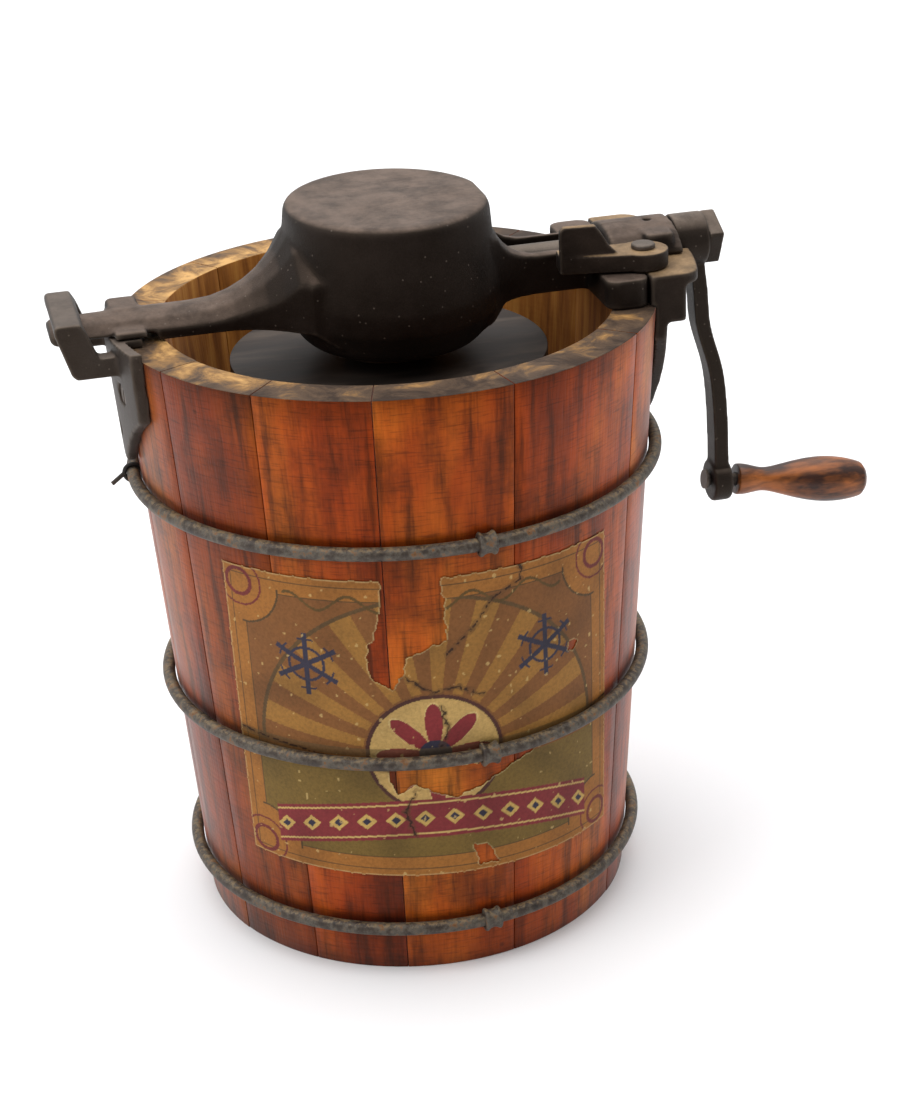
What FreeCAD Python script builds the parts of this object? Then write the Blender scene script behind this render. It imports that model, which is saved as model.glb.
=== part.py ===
"""Hand crank ice cream freezer: stave tub, cast gear frame, crank, can and dasher.

Millimetres, +Z up. The origin is the centre of the tub's foot. +X runs along the gear frame
to the crank, and -Y is the front, where the label is.
"""
import FreeCAD, Part
import math
import os

V = FreeCAD.Vector
os.makedirs("parts", exist_ok=True)

# Tub
tub_height = 308.0
tub_top_radius = 130.0
tub_foot_radius = 110.0
stave_thickness = 20.0
stave_joint_gap = 0.2
seams_in_view = [-175.0, -154.5, -130.0, -105.5, -77.0, -40.0]
hidden_stave_count = 8
floor_height = 20.0
floor_thickness = 12.0
croze_depth = 6.0
floor_board_count = 3
wood_clearance = 0.3

# Hoops of round wire
hoop_wire_radius = 3.2
hoop_top_drop = 73.6
hoop_middle_height = 122.4
hoop_bottom_height = 26.1
hoop_standoff = 0.45
clip_azimuth = -84.0
clip_width = 9.0
clip_height = 13.0
clip_wall = 2.6
clip_standoff = 1.0
tie_azimuth = 176.0
tie_wire_radius = 1.1
tie_tail = 8.0

# Paper label
label_thickness = 0.2
label_paste = 0.2
label_low = 55.0
label_high = 219.0
label_from = -145.0
label_to = -48.0

# Crank shaft and its bearings
shaft_above_rim = 14.7
shaft_radius = 6.5
running_clearance = 0.06
seat_clearance = 0.03
seat_gap = 0.3

# Bevel gears: one pinion between two rings
pinion_teeth = 12
ring_teeth = 28
ring_pitch_radius = 34.0
gear_face = 12.0
addendum_share = 0.75
dedendum_share = 1.15
tooth_thickness_share = 0.41
pressure_angle = 20.0
pinion_pin_radius = 1.4
pinion_hub_length = 4.0
ring_back = 20.0
ring_hub_reach = 13.7

# Gear frame casting
case_top = 52.5
case_top_radius = 49.0
case_waist_radius = 53.0
case_waist_height = 12.0
case_foot_radius = 45.5
case_foot = -13.5
case_edge = 3.5
case_oval = 1.12
case_shift = 2.5
case_flat_x = 48.5
case_cavity_radius = 38.5
case_roof = 5.0
roof_boss_radius = 15.0
journal_radius = 8.0
arm_width = 33.0
arm_clear = 1.0
tail_past_rim = 32.0
toe_low = 2.5
toe_thickness = 9.0
arm_back = 12.0
arm_shoulder_drop = 6.0
arm_flare_start = -95.0
arm_flare_radius = 54.0
arm_flare_top = 44.0
arm_flare_stations = [(-84.0, 0.0, 7.0), (-75.0, 1.0, 8.0), (-67.0, 3.0, 9.5), (-60.0, 6.5, 12.0),
                      (-53.0, 11.5, 14.5), (-47.0, 17.0, 17.0), (-42.0, 21.0, 19.0)]
trough_wall = 4.5
trough_top = 21.5
trough_floor = 4.0
trough_root = (30.0, -12.0, 42.0, 36.5, 2.0)
trough_stations = [(46.0, -6.0, 42.0, 14.0), (50.0, -3.0, 38.5, 9.5), (53.0, 0.0, 32.5, 7.0),
                   (57.0, 1.0, 27.5, 4.5), (63.0, 1.0, 23.6, 2.0), (70.0, 1.0, 21.7, 0.5),
                   (76.0, 1.0, 21.5, 0.0)]
block_inside_rim = 22.0
block_length = 35.0
block_half_width = 24.0
block_crown = 27.5
block_shoulder = 18.0
keel_half_width = 13.0
keel_bottom = 3.3
oil_boss_size = 14.0
oil_boss_top = 26.0
oil_hole_radius = 2.0
pinion_pocket_radius = 18.0

# Feet of the frame on the rim
left_foot_past_rim = 3.0
left_foot_length = 15.5
left_foot_half = 22.0
left_foot_front_top = 8.0
left_foot_back_top = 12.5
left_foot_clear = 5.5
right_foot_inside_rim = 13.0
right_foot_length = 21.0
right_foot_half = 52.0
right_foot_top = 14.5

# Ears bolted to the tub
ear_thickness = 6.0
left_ear_sides = [(43.0, 0.0), (41.0, 30.0), (28.0, 39.0), (8.0, 57.0), (4.0, 62.0)]
left_hook_height = 4.3
left_hook_reach = 8.0
right_ear_sides = [(52.0, 0.0), (52.0, 16.3), (8.0, 68.0)]
platform_height = 15.0
platform_past_rim = 19.5
platform_lip = 6.0
platform_overhang = 5.5
platform_drop = 9.0
platform_corner = 10.0
stirrup_past_rim = 18.5
stirrup_depth = 12.0
stirrup_half = 27.0
stirrup_bar = 9.0
stirrup_top = 16.5
stirrup_cap = 4.5
stirrup_low = -10.5
stirrup_bar_height = 9.5
stirrup_lean = 6.0
ear_screw_radius = 2.2
ear_screw_length = 17.0
ear_screw_head = 5.0
ear_screw_head_height = 2.6
ear_screw_sink = 1.2
head_clearance = 0.15
slot_width = 1.2
slot_depth = 1.0
left_screw_places = [(-22.0, 21.0), (22.0, 21.0), (0.0, 45.0)]
right_screw_places = [(-30.0, 28.0), (30.0, 28.0), (0.0, 54.0)]

# Latch
rivet_inside_rim = 11.0
rivet_y = -34.0
latch_radius = 12.0
latch_thickness = 8.5
latch_reach = 41.0
latch_end_half = 6.5
latch_angle = 173.0
latch_gap = 0.5
latch_swing_gap = 0.6
tab_height = 23.0
tab_length = 21.0
tab_thickness = 4.0
latch_rivet_radius = 3.5
latch_rivet_head = 5.7
latch_rivet_head_height = 2.2
latch_rivet_depth = 10.0

# Crank
hub_radius = 13.0
hub_length = 17.5
hub_gap = 0.5
crank_square = 10.0
crank_throw = 131.5
arm_swing = 17.8
arm_path = [(0.0, 4.0), (0.1, 4.3), (0.2, 5.9), (0.33, 7.3), (0.51, 13.7), (0.645, 16.2), (0.84, 17.5)]
arm_depth = 7.5
arm_breadth = 13.0
boss_radius = 11.0
boss_length = 10.0
thread_radius = 4.5
nut_side = 19.0
nut_thickness = 7.0
nut_turn = 26.0
thread_past_nut = 1.0

# Wooden grip
grip_length = 71.5
grip_radius = 11.6
grip_neck_radius = 6.2
grip_collar_radius = 8.0
grip_droop = 8.0
grip_gap = 4.5
spindle_radius = 3.0
spindle_clearance = 0.3
spindle_head_radius = 5.0
spindle_head_height = 2.0

# Case cover and its screws
cover_thickness = 3.5
cover_recess = 0.2
cover_hole_radius = 22.0
cover_ring_width = 5.0
cover_screw_count = 3
cover_screw_circle = 33.0
cover_screw_radius = 2.2
cover_screw_head = 4.0
cover_screw_head_height = 2.0
cover_boss_radius = 5.0
cover_boss_height = 4.0

# Can, lid and pivots
can_radius = 76.0
sheet = 1.0
can_bottom_height = 50.0
lid_top_drop = 23.0
lid_skirt = 22.0
lid_gap = 0.35
lid_hub_radius = 22.0
lid_hub_height = 9.3
lid_hub_counterbore = 6.5
lid_rivet_count = 4
lid_rivet_radius = 1.8
lid_rivet_head = 3.2
lid_rivet_circle = 19.0
pivot_radius = 6.0
pivot_clearance = 0.08
pivot_flange_radius = 20.0
pivot_flange = 2.0
dasher_pin_radius = 4.0
dasher_pin_height = 12.0
seat_plate_radius = 30.0
seat_plate_thickness = 4.0
seat_boss_radius = 13.0
seat_boss_height = 10.0
seat_socket_depth = 8.0
seat_screw_count = 3
seat_screw_radius = 2.0
seat_screw_circle = 22.0
seat_screw_length = 12.0

# Drive couplings above the lid
stem_radius = 10.0
tenon_side = 11.0
tenon_clearance = 0.35
tenon_height = 13.0
stem_sink = 2.5
lid_bore_clearance = 0.4
gear_hub_radius = 16.0
dog_width = 8.0
dog_depth = 5.0
dog_clearance = 0.5

# Dasher
dasher_shaft_radius = 8.0
dasher_half_width = 62.0
dasher_bar = 8.0
dasher_bar_depth = 6.0
dasher_foot_gap = 6.0
dasher_head_gap = 14.0
dasher_hub_radius = 9.0
hinge_pin_radius = 2.0
scraper_thickness = 7.0
scraper_edge_gap = 1.2
scraper_sweep = 22.0
scraper_knuckle_radius = 5.0
wheel_radius = 36.0
wheel_post_radius = 5.0
wheel_hub_radius = 11.0
wheel_blade_count = 4
wheel_blade_thickness = 2.5
wheel_blade_height = 55.0
wheel_blade_pitch = 35.0
wheel_height_share = 0.45

# Sizes that follow from the ones above
rim = tub_height
shaft_z = rim + shaft_above_rim
tub_taper = (tub_top_radius - tub_foot_radius) / tub_height
module = 2 * ring_pitch_radius / ring_teeth
pinion_pitch_radius = module * pinion_teeth / 2
ring_angle = math.atan2(ring_teeth, pinion_teeth)
pinion_angle = math.pi / 2 - ring_angle
cone_distance = math.hypot(ring_pitch_radius, pinion_pitch_radius)
small_end = (cone_distance - gear_face) / cone_distance
addendum = addendum_share * module
dedendum = dedendum_share * module
pinion_back = ring_pitch_radius + pinion_hub_length
roof_inside = rim + case_top - case_roof
floor_top = floor_height + floor_thickness
can_top = rim - lid_top_drop - sheet
cover_bottom = rim + case_foot
ring_gear_under = shaft_z - ring_back
lid_face = rim - lid_top_drop
lid_hub_top = lid_face + lid_hub_height
ring_hub_under = lid_hub_top + seat_gap
latch_z = rim + platform_height + latch_gap
stem_low = lid_hub_top - stem_sink
cover_low = cover_bottom + cover_recess
hoop_heights = {"hoop_top": tub_height - hoop_top_drop, "hoop_middle": hoop_middle_height,
                "hoop_bottom": hoop_bottom_height}
tail_end = -tub_top_radius - tail_past_rim
left_foot_from = -tub_top_radius - left_foot_past_rim
left_foot_to = left_foot_from + left_foot_length
left_foot_clear_to = left_foot_to + left_foot_clear
right_foot_to = tub_top_radius - right_foot_inside_rim
right_foot_from = right_foot_to - right_foot_length
platform_radius = tub_top_radius + platform_past_rim
stirrup_near = -tub_top_radius - stirrup_past_rim
stirrup_far = stirrup_near - stirrup_depth
rivet_x = tub_top_radius - rivet_inside_rim
block_start = tub_top_radius - block_inside_rim
block_end = block_start + block_length
hub_start = block_end + hub_gap
hub_end = hub_start + hub_length
far = 1000.0
full_turn = 360.0


def wood_radius(z):
    """Outer radius of the tub at a height."""
    return tub_foot_radius + tub_taper * z


def cylinder(radius, low, high, x=0.0, y=0.0):
    """Upright cylinder between two heights."""
    return Part.makeCylinder(radius, high - low, V(x, y, low), V(0, 0, 1))


def rod(radius, start, end, y=0.0, z=0.0):
    """Cylinder along X between two stations."""
    return Part.makeCylinder(radius, end - start, V(start, y, z), V(1, 0, 0))


def block(x0, x1, y0, y1, z0, z1):
    """Box between corners."""
    return Part.makeBox(x1 - x0, y1 - y0, z1 - z0, V(x0, y0, z0))


def tube(outer, inner, low, high):
    """Upright ring."""
    return cylinder(outer, low, high).cut(cylinder(inner, low - 1, high + 1))


def wire_face(points):
    """Flat face inside a closed polygon."""
    return Part.Face(Part.makePolygon(points + [points[0]]))


def turned(profile):
    """Solid of revolution about Z from (radius, height) points."""
    face = wire_face([V(r, 0, z) for r, z in profile])
    return face.revolve(V(0, 0, 0), V(0, 0, 1), 360)


def cone_shell(inner_offset, outer_offset, low, high):
    """Ring that follows the tub's outer face, between two offsets from it."""
    outer = Part.makeCone(wood_radius(low) + outer_offset, wood_radius(high) + outer_offset,
                          high - low, V(0, 0, low))
    inner = Part.makeCone(wood_radius(low) + inner_offset, wood_radius(high) + inner_offset,
                          high - low, V(0, 0, low))
    return outer.cut(inner)


def sector(from_deg, to_deg, low, high):
    """Wedge about the tub's axis that reaches past every part."""
    steps = 6
    points = [V(0, 0, low)]
    for i in range(steps + 1):
        a = math.radians(from_deg + (to_deg - from_deg) * i / steps)
        points.append(V(far * math.cos(a), far * math.sin(a), low))
    return wire_face(points).extrude(V(0, 0, high - low))


def rounded(shape, radius, picks):
    """Fillet the edges that a test picks."""
    edges = [e for e in shape.Edges if picks(e)]
    return shape.makeFillet(radius, edges) if edges else shape


def export(name, shape):
    """Write one sub-part."""
    shape.exportStep("parts/%s.step" % name)


def stave_seams():
    """Azimuths of the seams, first those in view, then the even ones behind."""
    last = seams_in_view[-1]
    step = (seams_in_view[0] + full_turn - last) / hidden_stave_count
    return seams_in_view + [last + step * i for i in range(1, hidden_stave_count + 1)]


def make_staves(screw_holes):
    """Tapered staves with the groove that holds the floor and holes for the ears' screws."""
    wall = cone_shell(-stave_thickness, 0.0, 0.0, tub_height)
    groove = cylinder(wood_radius(floor_height) - stave_thickness + croze_depth,
                      floor_height, floor_top)
    wall = wall.cut([groove] + screw_holes)
    seams = stave_seams()
    half_gap = math.degrees(stave_joint_gap / 2 / tub_foot_radius)
    for i in range(len(seams) - 1):
        cut = sector(seams[i] + half_gap, seams[i + 1] - half_gap, -1, tub_height + 1)
        export("stave_%02d" % (i + 1), wall.common(cut))


def make_floor(screw_holes):
    """Floor boards, side by side in the staves' groove."""
    radius = wood_radius(floor_height) - stave_thickness + croze_depth - wood_clearance
    disc = cylinder(radius, floor_height + wood_clearance, floor_top - wood_clearance)
    disc = disc.cut(screw_holes)
    width = 2 * radius / floor_board_count
    for i in range(floor_board_count):
        left = -radius + i * width + stave_joint_gap / 2
        board = disc.common(block(left, left + width - stave_joint_gap, -far, far, 0, floor_top))
        export("floor_board_%d" % (i + 1), board)


def hoop_radius(z):
    """Radius of a hoop's wire centre line."""
    return wood_radius(z) + (hoop_standoff + hoop_wire_radius) / math.cos(math.atan(tub_taper))


def hoop_torus(z, radius):
    """Ring of wire about the tub."""
    return Part.makeTorus(hoop_radius(z), radius, V(0, 0, z))


def make_hoops():
    """Wire hoops, the clip that closes each one, and the tie on the top one."""
    clips = []
    a = clip_azimuth
    for name, z in hoop_heights.items():
        export(name, hoop_torus(z, hoop_wire_radius))
        inner = hoop_radius(z) - hoop_wire_radius + clip_standoff
        clip = block(inner, hoop_radius(z) + hoop_wire_radius + clip_wall,
                     -clip_width / 2, clip_width / 2, z - clip_height / 2, z + clip_height / 2)
        clip = rounded(clip, 1.5, lambda e: e.BoundBox.XMin > inner + 1)
        clip.rotate(V(0, 0, 0), V(0, 0, 1), a)
        clips.append(clip.cut(hoop_torus(z, hoop_wire_radius + seat_clearance)))
    export("hoop_clips", Part.makeCompound(clips))
    z = hoop_heights["hoop_top"]
    reach = hoop_radius(z)
    ring = Part.makeTorus(hoop_wire_radius + tie_wire_radius + seat_clearance, tie_wire_radius,
                          V(reach, 0, z), V(0, 1, 0))
    start = reach + hoop_wire_radius + tie_wire_radius
    tail = Part.makeCylinder(tie_wire_radius, tie_tail, V(start, 0, z), V(1, 0.4, -0.6))
    tie = ring.fuse(tail)
    tie = tie.cut(cone_shell(-stave_thickness, 0.0, 0.0, tub_height))
    tie.rotate(V(0, 0, 0), V(0, 0, 1), tie_azimuth)
    export("hoop_tie", tie)


def make_label():
    """Paper label pasted on the front, under the middle hoop."""
    paper = cone_shell(label_paste, label_paste + label_thickness, label_low, label_high)
    export("label", paper.common(sector(label_from, label_to, label_low - 1, label_high + 1)))


def bevel_tooth(teeth, pitch_radius, pitch_angle):
    """One straight bevel tooth in the frame with the cone's apex at the origin, axis +Z."""
    back_radius = pitch_radius / math.cos(pitch_angle)
    axial = pitch_radius / math.tan(pitch_angle)
    alpha = math.radians(pressure_angle)
    base = back_radius * math.cos(alpha)
    thickness = tooth_thickness_share * math.pi * module

    def involute(angle):
        return math.tan(angle) - angle

    def half_width(offset):
        radius = max(back_radius + offset, base)
        turn = thickness / 2 / back_radius + involute(alpha) - involute(math.acos(base / radius))
        return turn * (back_radius + offset)

    foot = -dedendum - 0.3 * module
    offsets = [foot, -0.5 * dedendum, 0.0, 0.5 * addendum, addendum]
    flank = []
    for t in offsets:
        radius = pitch_radius + t * math.cos(pitch_angle)
        flank.append((radius, half_width(t), axial - t * math.sin(pitch_angle)))

    def outline(scale):
        side = [V(r * scale, w * scale, z * scale) for r, w, z in flank]
        other = [V(r * scale, -w * scale, z * scale) for r, w, z in reversed(flank)]
        return Part.makePolygon(side + other + [side[0]])

    return Part.makeLoft([outline(1.0), outline(small_end)], True, True)


def bevel_gear(teeth, pitch_radius, pitch_angle, body_profile, phase):
    """Gear body with its ring of teeth, apex at the origin and axis +Z."""
    body = turned(body_profile)
    tooth = bevel_tooth(teeth, pitch_radius, pitch_angle)
    ring = []
    for i in range(teeth):
        copy = tooth.copy()
        copy.rotate(V(0, 0, 0), V(0, 0, 1), (i + phase) * 360.0 / teeth)
        ring.append(copy)
    return body.fuse(ring)


def root_point(pitch_radius, pitch_angle, scale):
    """Point of the root cone at the large end, scaled towards the apex."""
    radius = pitch_radius - dedendum * math.cos(pitch_angle)
    axial = pitch_radius / math.tan(pitch_angle) + dedendum * math.sin(pitch_angle)
    return radius * scale, axial * scale


def ring_gear_body(bore, hub_radius_under, hub_under, hub_over_radius):
    """Profile of a ring gear: toothed rim, web and hub."""
    large = root_point(ring_pitch_radius, ring_angle, 1.0)
    small = root_point(ring_pitch_radius, ring_angle, small_end)
    back_step = (ring_back - large[1]) / math.tan(ring_angle)
    return [(bore, ring_hub_reach), (hub_over_radius, ring_hub_reach),
            (small[0] - 2.0, small[1] + 1.0), small, large, (large[0] - back_step, ring_back),
            (hub_radius_under, ring_back), (hub_radius_under, hub_under), (bore, hub_under)]


def make_can_gear():
    """Lower ring gear, teeth up, with two dogs that turn the lid."""
    hub_under = shaft_z - ring_hub_under
    profile = ring_gear_body(stem_radius + running_clearance, gear_hub_radius, hub_under,
                             gear_hub_radius)
    gear = bevel_gear(ring_teeth, ring_pitch_radius, ring_angle, profile, 0.5)
    gear.rotate(V(0, 0, 0), V(1, 0, 0), 180)
    gear.translate(V(0, 0, shaft_z))
    low = ring_hub_under - dog_depth
    inner = stem_radius + 1.2
    dogs = block(-dog_width / 2, dog_width / 2, -far, far, low, ring_hub_under + 1)
    dogs = dogs.common(tube(gear_hub_radius - 0.2, inner, low, ring_hub_under + 1))
    export("can_gear", gear.fuse(dogs))


def make_dasher_gear():
    """Upper ring gear, teeth down, on one stem that reaches the dasher's tenon."""
    profile = [(0.0, ring_hub_reach)] + ring_gear_body(0.0, roof_boss_radius - 1, ring_back,
                                                       gear_hub_radius - 3)[1:-2]
    profile += [(0.0, ring_back)]
    gear = bevel_gear(ring_teeth, ring_pitch_radius, ring_angle, profile, 0.5)
    gear.translate(V(0, 0, shaft_z))
    stem = cylinder(stem_radius, stem_low, shaft_z + ring_hub_reach + 1)
    shoulder = cylinder(gear_hub_radius - 3, shaft_z - ring_hub_reach + seat_gap,
                        shaft_z + ring_hub_reach + 1)
    journal = cylinder(journal_radius, shaft_z + ring_back - 1, roof_inside - seat_gap)
    half = tenon_side / 2 + tenon_clearance
    socket = block(-half, half, -half, half, stem_low - 1, stem_low + tenon_height)
    export("dasher_gear", gear.fuse([stem, shoulder, journal]).cut(socket))


def make_pinion():
    """Bevel pinion on the inner end of the crank shaft, with its taper pin."""
    large = root_point(pinion_pitch_radius, pinion_angle, 1.0)
    small = root_point(pinion_pitch_radius, pinion_angle, small_end)
    bore = shaft_radius + seat_clearance
    hub = large[0] - 1.0
    profile = [(bore, small[1]), small, large, (hub, pinion_back), (bore, pinion_back)]
    gear = bevel_gear(pinion_teeth, pinion_pitch_radius, pinion_angle, profile, 0.0)
    gear.rotate(V(0, 0, 0), V(0, 1, 0), 90)
    gear.translate(V(0, 0, shaft_z))
    station = pinion_back - pinion_hub_length / 2
    pin = Part.makeCylinder(pinion_pin_radius, 2 * hub, V(station, -hub, shaft_z), V(0, 1, 0))
    pin = pin.common(rod(hub, station - 2 * pinion_pin_radius, pinion_back, 0, shaft_z))
    hole = Part.makeCylinder(pinion_pin_radius + seat_clearance, far,
                             V(station, -far / 2, shaft_z), V(0, 1, 0))
    export("pinion", gear.cut(hole))
    export("pinion_pin", pin)
    return hole


def make_shaft(pin_hole):
    """Crank shaft: journal, square for the crank and thread for its nut."""
    small = root_point(pinion_pitch_radius, pinion_angle, small_end)
    shaft = rod(shaft_radius, small[1], hub_start, 0, shaft_z)
    half = crank_square / 2
    square = block(hub_start, hub_end, -half, half, shaft_z - half, shaft_z + half)
    square = square.common(rod(shaft_radius, hub_start, hub_end, 0, shaft_z))
    thread = rod(thread_radius, hub_end, hub_end + nut_thickness + thread_past_nut, 0, shaft_z)
    export("crank_shaft", shaft.fuse([square, thread]).cut(pin_hole))


def make_crank():
    """Crank arm: hub, curved arm and the boss that carries the grip."""
    hub_middle = (hub_start + hub_end) / 2
    boss_x = hub_middle + arm_swing
    boss_z = shaft_z - crank_throw
    centre = [(hub_middle + step, share) for share, step in arm_path] + [(boss_x, 1.0)]
    side = []
    for shift in (-arm_depth / 2, arm_depth / 2):
        line = [V(x + shift, -arm_breadth / 2, shaft_z - share * crank_throw)
                for x, share in centre]
        curve = Part.BSplineCurve()
        curve.interpolate(line)
        side.append(curve.toShape())
    ends = [Part.makeLine(side[0].valueAt(side[0].FirstParameter),
                          side[1].valueAt(side[1].FirstParameter)),
            Part.makeLine(side[0].valueAt(side[0].LastParameter),
                          side[1].valueAt(side[1].LastParameter))]
    outline = Part.Wire(Part.__sortEdges__([side[0], ends[1], side[1], ends[0]]))
    arm = Part.Face(outline).extrude(V(0, arm_breadth, 0))
    hub = rod(hub_radius, hub_start, hub_end, 0, shaft_z)
    hub = rounded(hub, 1.2, lambda e: isinstance(e.Curve, Part.Circle))
    boss = rod(boss_radius, boss_x - boss_length / 2, boss_x + boss_length / 2, 0, boss_z)
    boss = rounded(boss, 1.5, lambda e: isinstance(e.Curve, Part.Circle))
    half = crank_square / 2 + seat_clearance
    eye = block(hub_start - 1, hub_end + 1, -half, half, shaft_z - half, shaft_z + half)
    crank = hub.fuse([arm, boss]).cut(eye)
    droop = V(math.cos(math.radians(grip_droop)), 0, -math.sin(math.radians(grip_droop)))
    pin_hole = Part.makeCylinder(spindle_radius + seat_clearance, 4 * boss_length,
                                 V(boss_x, 0, boss_z) - droop * 2 * boss_length, droop)
    export("crank_arm", crank.cut(pin_hole))
    make_nut()
    make_grip(V(boss_x, 0, boss_z), droop)


def make_nut():
    """Square nut that holds the crank on the shaft."""
    half = nut_side / 2
    nut = block(hub_end, hub_end + nut_thickness, -half, half, shaft_z - half, shaft_z + half)
    nut = rounded(nut, 1.2, lambda e: abs(e.BoundBox.XLength - nut_thickness) < 0.01)
    nut = nut.cut(rod(thread_radius + seat_clearance, hub_end - 1, hub_end + far, 0, shaft_z))
    nut.rotate(V(0, 0, shaft_z), V(1, 0, 0), nut_turn)
    export("crank_nut", nut)


def make_grip(root, droop):
    """Turned wooden grip on its headed spindle, a little out of line as it hangs."""
    start = boss_length / 2 + grip_gap
    profile = [(start, grip_collar_radius), (start + 4.0, grip_collar_radius),
               (start + 0.2 * grip_length, grip_neck_radius),
               (start + 0.32 * grip_length, grip_neck_radius + 1.2),
               (start + 0.62 * grip_length, grip_radius),
               (start + 0.84 * grip_length, grip_radius - 0.4),
               (start + 0.97 * grip_length, grip_radius - 2.6)]
    curve = Part.BSplineCurve()
    curve.interpolate([V(r, 0, z) for z, r in profile])
    first, last = V(profile[0][1], 0, profile[0][0]), V(profile[-1][1], 0, profile[-1][0])
    end = start + grip_length
    lip = V(grip_radius - 5.0, 0, end)
    edges = [curve.toShape(), Part.makeLine(last, lip), Part.makeLine(lip, V(0, 0, end)),
             Part.makeLine(V(0, 0, end), V(0, 0, start)), Part.makeLine(V(0, 0, start), first)]
    body = Part.Face(Part.Wire(Part.__sortEdges__(edges))).revolve(V(0, 0, 0), V(0, 0, 1), 360)
    bore = spindle_radius + spindle_clearance
    pocket = spindle_head_radius + spindle_clearance
    head_at = end - 3.0 - spindle_head_height
    body = body.cut(cylinder(bore, start - 1, end + 1))
    body = body.cut(cylinder(pocket, head_at - spindle_clearance, end + 1))
    spindle = cylinder(spindle_radius, -boss_length / 2 - 1.5, head_at)
    heads = [cylinder(spindle_head_radius, head_at, head_at + spindle_head_height),
             cylinder(spindle_head_radius, -boss_length / 2 - 3.0, -boss_length / 2 - 1.5)]
    spindle = spindle.fuse(heads)
    for name, shape in (("grip", body), ("grip_spindle", spindle)):
        shape.rotate(V(0, 0, 0), V(0, 1, 0), 90 + grip_droop)
        shape.translate(root)
        export(name, shape)


def case_solid():
    """Oval outside of the gear case."""
    top = rim + case_top
    profile = [(0, rim + case_foot), (case_foot_radius - case_edge, rim + case_foot),
               (case_foot_radius, rim + case_foot + case_edge),
               (case_waist_radius - 1.0, rim + case_foot + 0.6 * (case_waist_height - case_foot)),
               (case_waist_radius, rim + case_waist_height),
               (case_top_radius, top - case_edge), (case_top_radius - 0.3 * case_edge,
                                                    top - 0.3 * case_edge),
               (case_top_radius - case_edge, top), (0, top)]
    solid = turned(profile)
    stretch = FreeCAD.Matrix()
    stretch.scale(V(1, case_oval, 1))
    solid = solid.transformGeometry(stretch)
    solid.translate(V(case_shift, 0, 0))
    return solid.cut(block(case_flat_x, far, -far, far, rim + trough_top, rim + far))


def extruded(points, half_width):
    """Solid of a side outline given as (x, height above the rim), centred on Y."""
    face = wire_face([V(x, -half_width, rim + z) for x, z in points])
    return face.extrude(V(0, 2 * half_width, 0))


def arc_points(centre_x, centre_z, radius, from_deg, to_deg, steps):
    """Points along an arc in the side view."""
    points = []
    for i in range(steps + 1):
        a = math.radians(from_deg + (to_deg - from_deg) * i / steps)
        points.append((centre_x + radius * math.cos(a), centre_z + radius * math.sin(a)))
    return points


def arm_section(x, low, high, half, drop):
    """Cross-section of an arm: flat below, upright sides and a crowned back."""
    side = high - drop
    points = [(-half, low), (half, low), (half, side), (0.6 * half, high - 0.28 * drop),
              (0.2 * half, high), (-0.2 * half, high), (-0.6 * half, high - 0.28 * drop),
              (-half, side)]
    corners = [V(x, y, rim + z) for y, z in points]
    return Part.makePolygon(corners + [corners[0]])


def left_arm():
    """Arm with a crowned back, from its toe in the stirrup to where it flares into the case."""
    half = arm_width / 2
    rest = left_hook_height + seat_gap
    toe = tail_end + toe_thickness
    drop = arm_shoulder_drop
    sections = [(tail_end, toe_low + 2, arm_back - 3.5, half - 4, 2), (tail_end + 2, toe_low,
                                                                       arm_back - 1.5, half - 2, 4),
                (toe, toe_low, arm_back - 0.7, half - 1, drop),
                (toe + 2, rest, arm_back - 0.6, half - 1, drop),
                (left_foot_clear_to - 1, rest, arm_back, half, drop),
                (left_foot_clear_to, arm_clear, arm_back, half, drop),
                (arm_flare_start, arm_clear, arm_back, half, drop)]
    for x, spread, fall in arm_flare_stations:
        along = x - arm_flare_start
        rise = arm_flare_radius - math.sqrt(arm_flare_radius ** 2 - along ** 2)
        high = min(arm_back + rise, arm_flare_top)
        sections.append((x, arm_clear, high, half + spread, fall))
    x, low, high, wide, fall = sections[-1]
    sections.append((x + 12, low - 8, high, wide + 3, fall))
    return Part.makeLoft([arm_section(*row) for row in sections], True, True)


def trough():
    """Open channel that houses the shaft between case and bearing block."""
    half = arm_width / 2
    sections = [trough_root]
    sections += [(x, low, high, half + spread, 1.0 + 0.4 * spread)
                 for x, low, high, spread in trough_stations]
    sections.append((block_start + 2, arm_clear, trough_top, half, 1.0))
    body = Part.makeLoft([arm_section(*row) for row in sections], True, True)
    inside = block(case_flat_x + 3.0, block_start, -half + trough_wall, half - trough_wall,
                   rim + trough_floor, rim + far)
    return body.cut(inside)


def bearing_block():
    """Crowned block at the frame's right end with a keel that drops into the ear."""
    w, k = block_half_width, keel_half_width
    base = platform_height + seat_gap
    points = [(-k, keel_bottom), (k, keel_bottom), (k, base), (w, base), (w, block_shoulder),
              (0.62 * w, block_crown - 3.2), (0.3 * w, block_crown - 0.7), (0, block_crown),
              (-0.3 * w, block_crown - 0.7), (-0.62 * w, block_crown - 3.2),
              (-w, block_shoulder), (-w, base), (-k, base)]
    face = wire_face([V(block_start, y, rim + z) for y, z in points])
    body = face.extrude(V(block_end - block_start, 0, 0))
    s = oil_boss_size
    boss = block(block_end - 4 - s, block_end - 4, -w + 1, -w + 1 + s, rim + base,
                 rim + oil_boss_top)
    boss = rounded(boss, 3.0, lambda e: abs(e.BoundBox.ZLength - (oil_boss_top - base)) < 0.01)
    hole = cylinder(oil_hole_radius, shaft_z, rim + far, block_end - 4 - s / 2, 0)
    return body.fuse(boss).cut(hole)


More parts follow.
